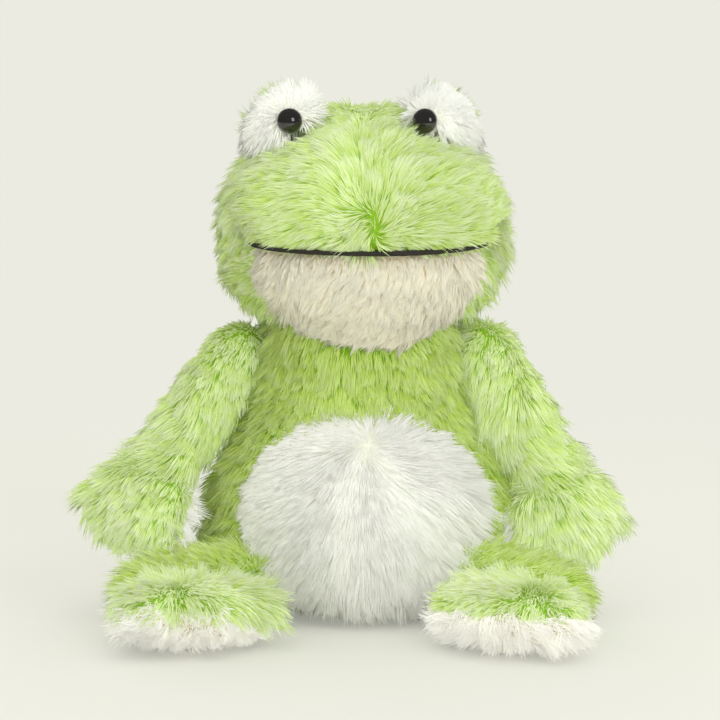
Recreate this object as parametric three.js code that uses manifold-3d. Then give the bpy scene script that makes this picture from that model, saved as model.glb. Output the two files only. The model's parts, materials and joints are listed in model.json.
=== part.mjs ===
// A seated plush frog, about 25 cm tall: long-pile skins sewn from panels, stuffed with fibre,
// with a cotton bag of grain in the belly. Millimetres, +Z up, facing -Y, its own left at +X.
// The origin is the middle of the flat seat that it rests on.
// Every stuffed form is a function of an inset: 0 gives the sewn surface, and a larger inset
// gives the surface that lies that far inside it, which is how skins and fillings nest.
import * as THREE from "three";
import { mergeVertices } from "three/addons/utils/BufferGeometryUtils.js";
import Module from "manifold-3d";

const wasm = await Module();
wasm.setup();

// Cloth, clearances and cuts
const SKIN = 5; // plush backing with its pile pressed down
const COTTON = 1.2; // wall of the inner grain bag
const GAP = 0.3; // between pieces that touch
const FLOOR_CUT = 0.5; // how deep the floor flattens what rests on it
const CUT_REACH = 600; // blocks that cut reach this far
const MERGE_DISTANCE = 1e-4; // points closer than this are one

// Torso, a pear that ends in a round neck
const TORSO_HALF_WIDTH = 69;
const TORSO_FRONT = 60;
const TORSO_BACK = 56;
const BELLY_HEIGHT = 50; // where it is widest
const NECK_HEIGHT = 118; // centre of the neck ball, on which the head nods
const NECK_RADIUS = 46;
const SEAT_SEAM_HEIGHT = 8;
const PATCH_HALF_WIDTH = 56;
const PATCH_HALF_HEIGHT = 51;
const PATCH_RISE = 1; // the patch's middle is this far above the widest height
const PATCH_HEIGHT = BELLY_HEIGHT + PATCH_RISE;
const GRAIN_DROP = 26; // the grain bag ends this far below the neck ball's centre
const GRAIN_TOP = NECK_HEIGHT - GRAIN_DROP;

// Head
const HEAD_RISE = 59; // from the neck ball's centre up to where the cranium is widest
const MOUTH_RISE = 3; // the lips meet this far above that
const MUZZLE_RISE = 14; // and the muzzle is widest this far above the lips
const CRANIUM_RADII = new THREE.Vector3(67, 56, 66);
const CRANIUM_BELOW = 47; // the cranium is shallower below its widest height
const CRANIUM_HEIGHT = NECK_HEIGHT + HEAD_RISE;
const MOUTH_HEIGHT = CRANIUM_HEIGHT + MOUTH_RISE;
const MUZZLE_RADII = new THREE.Vector3(60, 46, 38);
const MUZZLE_FORWARD = 34;
const MUZZLE_HEIGHT = MOUTH_HEIGHT + MUZZLE_RISE;
const JAW_RADII = new THREE.Vector3(56, 49, 49);
const JAW_FORWARD = 31;
const FACE_SHIFT = 3.5; // the muzzle and jaw lie this far to its own left
const JAW_SEAM_FORWARD = 37; // the jaw panel is sewn to the cheeks in this plane
const MOUTH_STRIP = 2.2; // thickness of the felt strip between the lips
const MOUTH_STRIP_PROUD = 0.8;

// Eyes, on two small stuffed mounds
const MOUND_RADIUS = 19;
const MOUND_SIDE = 35.5;
const MOUND_FORWARD = 15;
const MOUND_RISE = 54; // above the cranium's widest height
const MOUND_HEIGHT = CRANIUM_HEIGHT + MOUND_RISE;
const MOUND_SEAM_BACK = 4; // the white front panel reaches this far behind the mound's middle
const EYE_RADIUS = 6;
const EYE_DOME = 4.6;
const EYE_SINK = 1.2; // how far the eye pulls its seat into the mound
const SHANK_RADIUS = 2;
const SHANK_PAST_WASHER = 2.5;
const WASHER_RADIUS = 5.5;
const WASHER_THICKNESS = 1.6;

// Arms
const SHOULDER_RISE = 6; // above the neck ball's centre
const SHOULDER_HEIGHT = NECK_HEIGHT + SHOULDER_RISE;
const SHOULDER_FORWARD = 3;
const SHOULDER_RADIUS = 16.5;
const WRIST_RADIUS = 14;
const ARM_SWELL = 1.2;
const ARM_LENGTH = 58; // shoulder pivot to wrist pivot
const ARM_DIMPLE = 2; // how deep the shoulder ball lies in the torso

// Hands, fan-shaped pads with three fingers
const HAND_HALF_WIDTH = 32;
const HAND_HALF_LENGTH = 26;
const HAND_HALF_THICKNESS = 12;
const HAND_REACH = 26; // wrist pivot to the pad's middle

// Legs
const HIP_RADIUS = 19.5;
const ANKLE_RADIUS = 17;
const LEG_DIMPLE = 3.5;
const LEG_LENGTH = 32; // hip pivot to ankle pivot

// Feet, larger fans with three toes
const FOOT_HALF_WIDTH = 45;
const FOOT_HALF_LENGTH = 31;
const FOOT_HALF_THICKNESS = 15;
const FOOT_REACH = 34; // ankle pivot to the pad's middle

// Angles in degrees, and shapes as shares of the sizes that they follow
const RIGHT_ARM_OUT_ANGLE = 31.5;
const LEFT_ARM_OUT_ANGLE = 26.5;
const ARM_FORWARD_ANGLE = 14;
const RIGHT_LEG_OUT_ANGLE = 57; // plan angle of a leg from straight ahead
const LEFT_LEG_OUT_ANGLE = 55;
const RIGHT_FOOT_IN_ANGLE = 26; // the feet turn back towards the middle
const LEFT_FOOT_IN_ANGLE = 33;
const FOOT_PITCH_ANGLE = 12; // toes up
const ANKLE_ANGLES = [-30, -5, 20]; // the feet clear the legs at each of these
const RIGHT_FOOT_TOP = new THREE.Vector3(0.14, 0, 0.99).normalize(); // rolled to its inner edge
const LEFT_FOOT_TOP = new THREE.Vector3(-0.06, 0, 1).normalize();
const MOUND_FACING = new THREE.Vector3(0.22, -0.86, 0.42).normalize();
const RIGHT_EYE_FACING = new THREE.Vector3(-0.15, -0.95, 0.26).normalize();
const LEFT_EYE_FACING = new THREE.Vector3(-0.35, -0.9, 0.25).normalize();
const RIGHT_HAND_TOES = new THREE.Vector3(-0.46, -0.42, -0.68).normalize();
const RIGHT_HAND_TOP = new THREE.Vector3(-0.1, -0.8, 0.62).normalize();
const LEFT_HAND_TOES = new THREE.Vector3(0.37, -0.22, -0.88).normalize();
const LEFT_HAND_TOP = new THREE.Vector3(0.1, -0.9, 0.42).normalize();
const BELLY_CURVE_EXPONENT = 3; // of the curve below the belly: 2 is an ellipse
const TOE_LOBE_SHARE = 0.1;
const TOE_LOBE_COUNT = 6;
const HEEL_SHARE = 0.62; // a fan's width at its root, of its full width
const PAD_CROWN_EXPONENT = 0.62; // of a pad's edge: lower is fuller
const CUP_PLANE_SHARE = 0.62; // a pad starts this far down the ball that it sits on

// Facet counts, outside and inside
const BODY = { outer: { around: 20, along: 5 }, inner: { around: 12, along: 3 } };
const LIMB = { outer: { around: 12, along: 3 }, inner: { around: 8, along: 2 } };
const PAD = { outer: { around: 18, along: 3 }, inner: { around: 10, along: 2 } };
const SMALL = { outer: { around: 12, along: 3 }, inner: { around: 10, along: 3 } };
const CUP = { around: 12, along: 3 };

const radians = THREE.MathUtils.degToRad;
const mix = THREE.MathUtils.lerp;

// A closed geometry as a solid that can be joined and cut.
function solidOf(geometry) {
  const bare = geometry.clone();
  bare.deleteAttribute("normal");
  bare.deleteAttribute("uv");
  const merged = mergeVertices(bare, MERGE_DISTANCE);
  return new wasm.Manifold(
    new wasm.Mesh({
      numProp: 3,
      vertProperties: new Float32Array(merged.attributes.position.array),
      triVerts: new Uint32Array(merged.index.array),
    }),
  );
}

function geometryOf(solid) {
  const mesh = solid.getMesh();
  const geometry = new THREE.BufferGeometry();
  geometry.setAttribute("position", new THREE.BufferAttribute(mesh.vertProperties, 3));
  geometry.setIndex(new THREE.BufferAttribute(mesh.triVerts, 1));
  geometry.computeVertexNormals();
  return geometry;
}

// Everything on the side of a plane that the direction points to.
function halfSpace(point, direction) {
  const block = new THREE.BoxGeometry(CUT_REACH, CUT_REACH, CUT_REACH);
  block.translate(0, 0, CUT_REACH / 2);
  const turn = new THREE.Quaternion().setFromUnitVectors(new THREE.Vector3(0, 0, 1), direction);
  block.applyQuaternion(turn);
  block.translate(point.x, point.y, point.z);
  return solidOf(block);
}

const TUBE_AXIS = new THREE.Vector3(0, 1, 0); // turned profiles are made along this
const UP = new THREE.Vector3(0, 0, 1);
const DOWN = new THREE.Vector3(0, 0, -1);
const AHEAD = new THREE.Vector3(0, -1, 0);
const BEHIND = new THREE.Vector3(0, 1, 0);
const above = (height) => halfSpace(new THREE.Vector3(0, 0, height), UP);
const below = (height) => halfSpace(new THREE.Vector3(0, 0, height), DOWN);
const aheadOf = (forward) => halfSpace(new THREE.Vector3(0, -forward, 0), AHEAD);
const behind = (forward) => halfSpace(new THREE.Vector3(0, -forward, 0), BEHIND);

// An ellipsoid that may reach another distance below its widest height than above it.
function ellipsoid(radii, centre, facets, below = radii.z) {
  const ball = new THREE.SphereGeometry(1, facets.around, facets.along * 2);
  ball.rotateX(Math.PI / 2);
  ball.scale(radii.x, radii.y, radii.z);
  const places = ball.attributes.position;
  for (let i = 0; i < places.count; i++)
    if (places.getZ(i) < 0) places.setZ(i, (places.getZ(i) * below) / radii.z);
  ball.translate(centre.x, centre.y, centre.z);
  return solidOf(ball);
}

const shrunk = (radii, inset) => radii.clone().subScalar(inset);
const ball = (centre, radius, facets) =>
  ellipsoid(new THREE.Vector3(radius, radius, radius), centre, facets);

// The hollow that a ball end turns in: its flat facets stay outside the ball's radius.
function cup(centre, radius) {
  const lost = Math.cos(Math.PI / CUP.around) * Math.cos(Math.PI / CUP.along / 4);
  return ball(centre, radius / lost, CUP);
}

// A closed skin through rings of equally many points, each counter-clockwise from the far end.
function throughRings(start, rings, end) {
  const around = rings[0].length;
  const points = [start, ...rings.flat(), end];
  const faces = [];
  const at = (ring, j) => 1 + ring * around + (j % around);
  for (let j = 0; j < around; j++) {
    faces.push(0, at(0, j + 1), at(0, j));
    for (let ring = 0; ring + 1 < rings.length; ring++) {
      faces.push(at(ring, j), at(ring, j + 1), at(ring + 1, j + 1));
      faces.push(at(ring, j), at(ring + 1, j + 1), at(ring + 1, j));
    }
    faces.push(at(rings.length - 1, j), at(rings.length - 1, j + 1), points.length - 1);
  }
  const geometry = new THREE.BufferGeometry().setFromPoints(points);
  geometry.setIndex(faces);
  return geometry;
}

const anglesAround = (count) => Array.from({ length: count }, (_, j) => (2 * Math.PI * j) / count);

// How far the torso's surface is from its axis at a height, on the side where it reaches widest.
function torsoReach(widest, height, inset) {
  const bottom = inset - FLOOR_CUT;
  const neck = NECK_RADIUS - inset;
  if (height > NECK_HEIGHT) return Math.sqrt(neck ** 2 - (height - NECK_HEIGHT) ** 2);
  if (height > BELLY_HEIGHT) {
    const climb = (height - BELLY_HEIGHT) / (NECK_HEIGHT - BELLY_HEIGHT);
    return mix(widest - inset, neck, (1 - Math.cos(Math.PI * climb)) / 2);
  }
  const depth = (BELLY_HEIGHT - height) / (BELLY_HEIGHT - bottom);
  return (widest - inset) * (1 - depth ** BELLY_CURVE_EXPONENT) ** (1 / BELLY_CURVE_EXPONENT);
}

function torsoForm(inset, facets) {
  const bottom = inset - FLOOR_CUT;
  const heights = [bottom + FLOOR_CUT];
  for (let i = 1; i <= facets.along; i++) {
    const turn = (Math.PI / 2) * (i / facets.along);
    heights.push(mix(BELLY_HEIGHT, bottom, Math.cos(turn)));
  }
  for (let i = 1; i < facets.along; i++)
    heights.push(mix(BELLY_HEIGHT, NECK_HEIGHT, i / facets.along));
  for (let i = 0; i < facets.along; i++) {
    const turn = (Math.PI / 2) * (i / facets.along);
    heights.push(NECK_HEIGHT + (NECK_RADIUS - inset) * Math.sin(turn));
  }
  const rings = heights.map((height) =>
    anglesAround(facets.around).map((angle) => {
      const depth = Math.sin(angle) < 0 ? TORSO_FRONT : TORSO_BACK;
      return new THREE.Vector3(
        torsoReach(TORSO_HALF_WIDTH, height, inset) * Math.cos(angle),
        torsoReach(depth, height, inset) * Math.sin(angle),
        height,
      );
    }),
  );
  const top = new THREE.Vector3(0, 0, NECK_HEIGHT + NECK_RADIUS - inset);
  return solidOf(throughRings(new THREE.Vector3(0, 0, bottom), rings, top));
}

// A limb: a ball about the joint that carries it, a tube that swells and tapers, and a ball at
// its far joint. Both balls stay exactly round, so that they can turn in their cups.
function limbGeometry(limb, inset, facets) {
  const near = limb.nearRadius - inset;
  const far = limb.farRadius - inset;
  const profile = [];
  for (let i = 0; i <= facets.along; i++) {
    const turn = (Math.PI / 2) * (i / facets.along - 1);
    profile.push(new THREE.Vector2(near * Math.cos(turn), near * Math.sin(turn)));
  }
  for (let i = 1; i < facets.along; i++) {
    const share = i / facets.along;
    const swell = limb.swell * Math.sin(Math.PI * share);
    profile.push(new THREE.Vector2(mix(near, far, share) + swell, limb.length * share));
  }
  for (let i = 0; i <= facets.along; i++) {
    const turn = (Math.PI / 2) * (i / facets.along);
    profile.push(new THREE.Vector2(far * Math.cos(turn), limb.length + far * Math.sin(turn)));
  }
  profile[0].x = 0;
  profile[profile.length - 1].x = 0;
  const geometry = new THREE.LatheGeometry(profile, facets.around);
  geometry.applyQuaternion(
    new THREE.Quaternion().setFromUnitVectors(TUBE_AXIS, limb.direction),
  );
  return geometry.translate(limb.start.x, limb.start.y, limb.start.z);
}

// The room that a leg's tube takes up as the foot turns at its ankle
function legRoom(leg, inset, side) {
  const flatsLost = 1 / Math.cos(Math.PI / LIMB.inner.around);
  const room = (radius) => (radius + GAP + inset) * flatsLost;
  const profile = [
    new THREE.Vector2(0, -leg.length),
    new THREE.Vector2(room(leg.nearRadius), -leg.length),
    new THREE.Vector2(room(leg.farRadius), 0),
    new THREE.Vector2(0, 0),
  ];
  const rooms = ANKLE_ANGLES.map((turn) => {
    const cone = new THREE.LatheGeometry(profile, LIMB.inner.around);
    cone.applyQuaternion(new THREE.Quaternion().setFromUnitVectors(TUBE_AXIS, leg.direction));
    cone.applyQuaternion(new THREE.Quaternion().setFromAxisAngle(side, -radians(turn)));
    return solidOf(cone.translate(leg.end.x, leg.end.y, leg.end.z));
  });
  return rooms.reduce((all, one) => all.add(one));
}

// A fan-shaped pad with three rounded toes, lying in its own XY plane with the toes at +Y.
function padGeometry(pad, inset, facets) {
  const width = pad.halfWidth - inset;
  const length = pad.halfLength - inset;
  const thickness = pad.halfThickness - inset;
  const outline = anglesAround(facets.around).map((angle) => {
    const toward = (1 + Math.sin(angle)) / 2;
    const lobes = inset > 0 ? 0 : TOE_LOBE_SHARE * Math.cos(TOE_LOBE_COUNT * (angle - Math.PI / 2));
    const grow = 1 + lobes * toward ** 2;
    return new THREE.Vector2(
      width * mix(HEEL_SHARE, 1, Math.sqrt(toward)) * Math.cos(angle) * grow,
      length * Math.sin(angle) * grow,
    );
  });
  const rings = [];
  for (let i = 1; i < facets.along * 2; i++) {
    const turn = Math.PI * (i / facets.along / 2 - 1 / 2);
    const shrink = Math.cos(turn) ** PAD_CROWN_EXPONENT;
    const height = thickness * Math.sin(turn);
    rings.push(outline.map((p) => new THREE.Vector3(p.x * shrink, p.y * shrink, height)));
  }
  const pole = new THREE.Vector3(0, 0, thickness);
  return throughRings(pole.clone().negate(), rings, pole);
}

// Turns a pad so that its toes point along one direction and its top faces the other.
function padPlacement(pad) {
  const toes = pad.toes.clone().normalize();
  const side = new THREE.Vector3().crossVectors(toes, pad.top).normalize();
  const top = new THREE.Vector3().crossVectors(side, toes);
  const middle = pad.pivot.clone().addScaledVector(toes, pad.reach);
  return new THREE.Matrix4().makeBasis(side, toes, top).setPosition(middle);
}

// The pad in its place, cut by the ball that it sits on. A pad that rests on the floor is
// lowered until the floor flattens it.
function padForm(pad, inset, facets) {
  const placed = padGeometry(pad, inset, facets).applyMatrix4(pad.placement);
  placed.translate(0, 0, pad.drop);
  const toes = pad.toes.clone().normalize();
  const start = pad.pivot.clone();
  start.addScaledVector(toes, pad.ballRadius * CUP_PLANE_SHARE + inset);
  const solid = solidOf(placed)
    .intersect(halfSpace(start, toes))
    .subtract(cup(pad.pivot, pad.ballRadius + GAP + inset));
  if (!pad.leg) return solid;
  const side = new THREE.Vector3().setFromMatrixColumn(pad.placement, 0);
  return solid.subtract(legRoom(pad.leg, inset, side));
}

// How far a pad is moved down so that the floor cuts FLOOR_CUT off its underside.
function dropToFloor(pad) {
  const placed = padGeometry(pad, 0, PAD.outer).applyMatrix4(pad.placement);
  placed.computeBoundingBox();
  return -FLOOR_CUT - placed.boundingBox.min.z;
}

// Where everything is, worked out from the sizes above
const neckPivot = new THREE.Vector3(0, 0, NECK_HEIGHT);

function armOf(side, out) {
  const x = torsoReach(TORSO_HALF_WIDTH, SHOULDER_HEIGHT, 0) + SHOULDER_RADIUS - ARM_DIMPLE;
  const start = new THREE.Vector3(side * x, -SHOULDER_FORWARD, SHOULDER_HEIGHT);
  const direction = new THREE.Vector3(
    side * Math.sin(radians(out)),
    -Math.sin(radians(ARM_FORWARD_ANGLE)) * Math.cos(radians(out)),
    -Math.cos(radians(ARM_FORWARD_ANGLE)) * Math.cos(radians(out)),
  );
  return {
    start,
    direction,
    length: ARM_LENGTH,
    nearRadius: SHOULDER_RADIUS,
    farRadius: WRIST_RADIUS,
    swell: ARM_SWELL,
    end: start.clone().addScaledVector(direction, ARM_LENGTH),
  };
}

function handOf(arm, toes, top) {
  const hand = {
    pivot: arm.end,
    ballRadius: WRIST_RADIUS,
    toes,
    top,
    reach: HAND_REACH,
    halfWidth: HAND_HALF_WIDTH,
    halfLength: HAND_HALF_LENGTH,
    halfThickness: HAND_HALF_THICKNESS,
    drop: 0,
  };
  hand.placement = padPlacement(hand);
  return hand;
}

function legOf(side, out) {
  const plan = new THREE.Vector3(side * Math.sin(radians(out)), -Math.cos(radians(out)), 0);
  const height = HIP_RADIUS - FLOOR_CUT;
  const across = plan.x / torsoReach(TORSO_HALF_WIDTH, height, 0);
  const along = plan.y / torsoReach(TORSO_FRONT, height, 0);
  const surface = 1 / Math.hypot(across, along);
  const start = plan.clone().multiplyScalar(surface + HIP_RADIUS - LEG_DIMPLE);
  start.z = height;
  const fall = Math.asin((ANKLE_RADIUS - HIP_RADIUS) / LEG_LENGTH);
  const direction = plan.multiplyScalar(Math.cos(fall));
  direction.z = Math.sin(fall);
  return {
    start,
    direction,
    length: LEG_LENGTH,
    nearRadius: HIP_RADIUS,
    farRadius: ANKLE_RADIUS,
    swell: 0,
    end: start.clone().addScaledVector(direction, LEG_LENGTH),
  };
}

function footOf(side, leg, turnedIn, top) {
  const across = -side * Math.sin(radians(turnedIn));
  const flat = new THREE.Vector3(across, -Math.cos(radians(turnedIn)), 0);
  const toes = flat.multiplyScalar(Math.cos(radians(FOOT_PITCH_ANGLE)));
  toes.z = Math.sin(radians(FOOT_PITCH_ANGLE));
  const foot = {
    leg,
    pivot: leg.end,
    ballRadius: ANKLE_RADIUS,
    toes,
    top,
    reach: FOOT_REACH,
    halfWidth: FOOT_HALF_WIDTH,
    halfLength: FOOT_HALF_LENGTH,
    halfThickness: FOOT_HALF_THICKNESS,
  };
  foot.placement = padPlacement(foot);
  foot.drop = dropToFloor(foot);
  return foot;
}

const arms = { right: armOf(-1, RIGHT_ARM_OUT_ANGLE), left: armOf(1, LEFT_ARM_OUT_ANGLE) };
const hands = {
  right: handOf(arms.right, RIGHT_HAND_TOES, RIGHT_HAND_TOP),
  left: handOf(arms.left, LEFT_HAND_TOES, LEFT_HAND_TOP),
};
const legs = { right: legOf(-1, RIGHT_LEG_OUT_ANGLE), left: legOf(1, LEFT_LEG_OUT_ANGLE) };
const feet = {
  right: footOf(-1, legs.right, RIGHT_FOOT_IN_ANGLE, RIGHT_FOOT_TOP),
  left: footOf(1, legs.left, LEFT_FOOT_IN_ANGLE, LEFT_FOOT_TOP),
};

// Colours and finishes
const cloth = (color) => new THREE.MeshStandardMaterial({ color, roughness: 0.95, metalness: 0 });
const greenPlush = cloth(0xa8d85a);
const whitePlush = cloth(0xf0f0e4);
const creamPlush = cloth(0xe8e4cc);
const blackFelt = cloth(0x26241f);
const cottonBag = cloth(0xe9e2d0);
const fibre = cloth(0xf6f6f2);
const grain = new THREE.MeshStandardMaterial({ color: 0xd9b56a, roughness: 0.8, metalness: 0 });
const eyePlastic = new THREE.MeshStandardMaterial({
  color: 0x0c0b0a,
  roughness: 0.08,
  metalness: 0,
});
const washerPlastic = new THREE.MeshStandardMaterial({
  color: 0xe4e4e0,
  roughness: 0.5,
  metalness: 0,
});

// Adds a solid, worked out in the part's frame, to the group that carries it.
function place(group, name, solid, material) {
  const geometry = geometryOf(solid);
  const origin = group.getWorldPosition(new THREE.Vector3());
  geometry.translate(-origin.x, -origin.y, -origin.z);
  const mesh = new THREE.Mesh(geometry, material);
  mesh.name = name;
  group.add(mesh);
}

// A group whose own origin is the joint that it turns about.
function jointGroup(parent, pivot) {
  const group = new THREE.Group();
  parent.add(group);
  group.position.copy(parent.worldToLocal(pivot.clone()));
  group.updateMatrixWorld(true);
  return group;
}

const skinOf = (form) => form(0).subtract(form(SKIN));
const fillingOf = (form) => form(SKIN + GAP);
const facetsFor = (counts, inset) => (inset > 0 ? counts.inner : counts.outer);

// Torso: four panels of plush round a grain bag and a chest filling
function buildTorso(group) {
  const sockets = [arms.right, arms.left, legs.right, legs.left];
  const form = (inset) =>
    sockets.reduce(
      (solid, limb) => solid.subtract(cup(limb.start, limb.nearRadius + GAP + inset)),
      torsoForm(inset, facetsFor(BODY, inset)).intersect(above(0)),
    );
  const patch = (grow) => {
    const disc = new THREE.CylinderGeometry(1, 1, 1, BODY.outer.around);
    disc.scale(PATCH_HALF_WIDTH + grow, CUT_REACH, PATCH_HALF_HEIGHT + grow);
    disc.translate(0, 0, PATCH_HEIGHT);
    return solidOf(disc);
  };
  const skin = skinOf(form);
  const sides = skin.intersect(above(SEAT_SEAM_HEIGHT + GAP / 2));
  const front = sides.intersect(aheadOf(GAP / 2));
  place(group, "seat_panel", skin.intersect(below(SEAT_SEAM_HEIGHT - GAP / 2)), greenPlush);
  place(group, "belly_patch", front.intersect(patch(0)), whitePlush);
  place(group, "torso_front_panel", front.subtract(patch(GAP)), greenPlush);
  place(group, "torso_back_panel", sides.intersect(behind(-GAP / 2)), greenPlush);

  const contents = fillingOf(form);
  const bag = contents.intersect(below(GRAIN_TOP));
  const bagInside = form(SKIN + GAP + COTTON).intersect(below(GRAIN_TOP - COTTON));
  const bagWall = bag.subtract(bagInside);
  const heap = form(SKIN + GAP + COTTON + GAP).intersect(below(GRAIN_TOP - COTTON - GAP));
  place(group, "grain_bag_front", bagWall.intersect(aheadOf(GAP / 2)), cottonBag);
  place(group, "grain_bag_back", bagWall.intersect(behind(-GAP / 2)), cottonBag);
  place(group, "grain_fill", heap, grain);
  place(group, "chest_filling", contents.intersect(above(GRAIN_TOP + GAP)), fibre);
}

function headForm(inset) {
  const facets = facetsFor(BODY, inset);
  const at = (shift, forward, height) => new THREE.Vector3(shift, -forward, height);
  const cranium = ellipsoid(
    shrunk(CRANIUM_RADII, inset),
    at(0, 0, CRANIUM_HEIGHT),
    facets,
    CRANIUM_BELOW - inset,
  );
  const muzzle = ellipsoid(
    shrunk(MUZZLE_RADII, inset),
    at(FACE_SHIFT, MUZZLE_FORWARD, MUZZLE_HEIGHT),
    facets,
  ).intersect(above(MOUTH_HEIGHT));
  const jaw = ellipsoid(
    shrunk(JAW_RADII, inset),
    at(FACE_SHIFT, JAW_FORWARD, MOUTH_HEIGHT),
    facets,
  ).intersect(below(MOUTH_HEIGHT));
  return cranium.add(muzzle).add(jaw).subtract(cup(neckPivot, NECK_RADIUS + GAP + inset));
}

// Head: two green halves with a seam down the middle, a cream jaw, and felt between the lips
function buildHead(group) {
  const skin = skinOf(headForm);
  const lipTop = MOUTH_HEIGHT + MOUTH_STRIP / 2;
  const lipBottom = MOUTH_HEIGHT - MOUTH_STRIP / 2;
  const mouthRoom = aheadOf(JAW_SEAM_FORWARD).intersect(below(lipTop + GAP));
  const green = skin.subtract(mouthRoom);
  const halfAt = (side) =>
    halfSpace(new THREE.Vector3((side * GAP) / 2, 0, 0), new THREE.Vector3(side, 0, 0));
  place(group, "head_right_panel", green.intersect(halfAt(-1)), greenPlush);
  place(group, "head_left_panel", green.intersect(halfAt(1)), greenPlush);

  const inFront = aheadOf(JAW_SEAM_FORWARD + GAP);
  const jaw = skin.intersect(inFront).intersect(below(lipBottom - GAP));
  place(group, "jaw_panel", jaw, creamPlush);

  const strip = headForm(-MOUTH_STRIP_PROUD)
    .subtract(headForm(SKIN))
    .intersect(inFront)
    .intersect(above(lipBottom))
    .intersect(below(lipTop));
  place(group, "mouth_strip", strip, blackFelt);
  place(group, "head_filling", fillingOf(headForm), fibre);
}

// One turned plastic eye: a dome, with a shank that goes through the plush
function eyeSolid(base, facing, length, grow) {
  const profile = [new THREE.Vector2(0, -length - grow)];
  profile.push(new THREE.Vector2(SHANK_RADIUS + grow, -length - grow));
  profile.push(new THREE.Vector2(SHANK_RADIUS + grow, -grow));
  for (let i = 0; i <= SMALL.outer.along; i++) {
    const turn = (Math.PI / 2) * (i / SMALL.outer.along);
    const out = (EYE_RADIUS + grow) * Math.cos(turn);
    profile.push(new THREE.Vector2(out, (EYE_DOME + grow) * Math.sin(turn) - grow));
  }
  profile[profile.length - 1].x = 0;
  return turnedSolid(profile, base, facing);
}

function turnedSolid(profile, base, facing) {
  const turned = new THREE.LatheGeometry(profile, SMALL.outer.around);
  turned.applyQuaternion(
    new THREE.Quaternion().setFromUnitVectors(TUBE_AXIS, facing),
  );
  turned.translate(base.x, base.y, base.z);
  return solidOf(turned);
}

// An eye mound: a stuffed cap on the head, white in front and green behind, with its eye
function buildMound(group, side, name, eyeAim) {
  const sided = (v) => new THREE.Vector3(side * v.x, v.y, v.z);
  const centre = new THREE.Vector3(side * MOUND_SIDE, -MOUND_FORWARD, MOUND_HEIGHT);
  const facing = sided(MOUND_FACING);
  const eyeFacing = sided(eyeAim);
  const onEyeAxis = (distance) => centre.clone().addScaledVector(eyeFacing, distance);
  const head = headForm(-GAP);
  const cap = (inset, facets) => ball(centre, MOUND_RADIUS - inset, facets).subtract(head);

  const innerRadius = MOUND_RADIUS - SKIN;
  const washerOuter = Math.sqrt(innerRadius ** 2 - (WASHER_RADIUS + GAP) ** 2) - GAP;
  const eyeBase = MOUND_RADIUS - EYE_SINK;
  const shank = eyeBase - washerOuter + WASHER_THICKNESS + SHANK_PAST_WASHER;
  const eye = (grow) => eyeSolid(onEyeAxis(eyeBase), eyeFacing, shank, grow);
  const bore = SHANK_RADIUS + GAP;
  const washerProfile = [
    new THREE.Vector2(bore, -WASHER_THICKNESS),
    new THREE.Vector2(WASHER_RADIUS, -WASHER_THICKNESS),
    new THREE.Vector2(WASHER_RADIUS, 0),
    new THREE.Vector2(bore, 0),
    new THREE.Vector2(bore, -WASHER_THICKNESS),
  ];

  const washerRoomProfile = [
    new THREE.Vector2(0, -WASHER_THICKNESS - GAP),
    new THREE.Vector2(WASHER_RADIUS + GAP, -WASHER_THICKNESS - GAP),
    new THREE.Vector2(WASHER_RADIUS + GAP, GAP),
    new THREE.Vector2(0, GAP),
  ];
  const washerRoom = turnedSolid(washerRoomProfile, onEyeAxis(washerOuter), eyeFacing);

  const wall = cap(0, SMALL.outer).subtract(cap(SKIN, SMALL.inner));
  const skin = wall.subtract(eye(GAP)).subtract(washerRoom);
  const seam = centre.clone().addScaledVector(facing, -MOUND_SEAM_BACK);
  const seamFront = seam.clone().addScaledVector(facing, GAP / 2);
  const seamBack = seam.clone().addScaledVector(facing, -GAP / 2);
  const rear = facing.clone().negate();
  const front = skin.intersect(halfSpace(seamFront, facing));
  place(group, "eye_mound_front_" + name, front, whitePlush);
  place(group, "eye_mound_back_" + name, skin.intersect(halfSpace(seamBack, rear)), greenPlush);
  place(group, "eye_" + name, eye(0), eyePlastic);
  const washer = turnedSolid(washerProfile, onEyeAxis(washerOuter), eyeFacing);
  place(group, "eye_washer_" + name, washer, washerPlastic);
  const inFront = halfSpace(onEyeAxis(washerOuter - WASHER_THICKNESS - GAP), eyeFacing);
  const filling = cap(SKIN + GAP, SMALL.inner).subtract(inFront).subtract(eye(GAP));
  place(group, "eye_mound_filling_" + name, filling, fibre);
}

// A limb's skin in two panels, joined along a plane through its axis, and its filling
function buildLimb(group, limb, names, seamFacing) {
  const form = (inset) =>
    solidOf(limbGeometry(limb, inset, facetsFor(LIMB, inset))).intersect(above(0));
  const skin = skinOf(form);
  const seam = (side) =>
    halfSpace(
      limb.start.clone().addScaledVector(seamFacing, (side * GAP) / 2),
      seamFacing.clone().multiplyScalar(side),
    );
  place(group, names[0], skin.intersect(seam(1)), greenPlush);
  place(group, names[1], skin.intersect(seam(-1)), greenPlush);
  place(group, names[2], fillingOf(form), fibre);
}

// A hand or foot: a green top, a white underside and a filling
function buildPad(group, pad, names) {
  const form = (inset) => padForm(pad, inset, facetsFor(PAD, inset)).intersect(above(0));
  const skin = skinOf(form);
  const top = new THREE.Vector3().setFromMatrixColumn(pad.placement, 2);
  const middle = new THREE.Vector3().setFromMatrixPosition(pad.placement);
  middle.z += pad.drop;
  const seam = (side) =>
    halfSpace(
      middle.clone().addScaledVector(top, (side * GAP) / 2),
      top.clone().multiplyScalar(side),
    );
  place(group, names[0], skin.intersect(seam(1)), greenPlush);
  place(group, names[1], skin.intersect(seam(-1)), whitePlush);
  place(group, names[2], fillingOf(form), fibre);
}

// The direction in which a limb's seam plane faces, squared to its axis
function squaredTo(axis, wanted) {
  return wanted.clone().addScaledVector(axis, -wanted.dot(axis)).normalize();
}

const frog = new THREE.Group();
buildTorso(frog);

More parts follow.
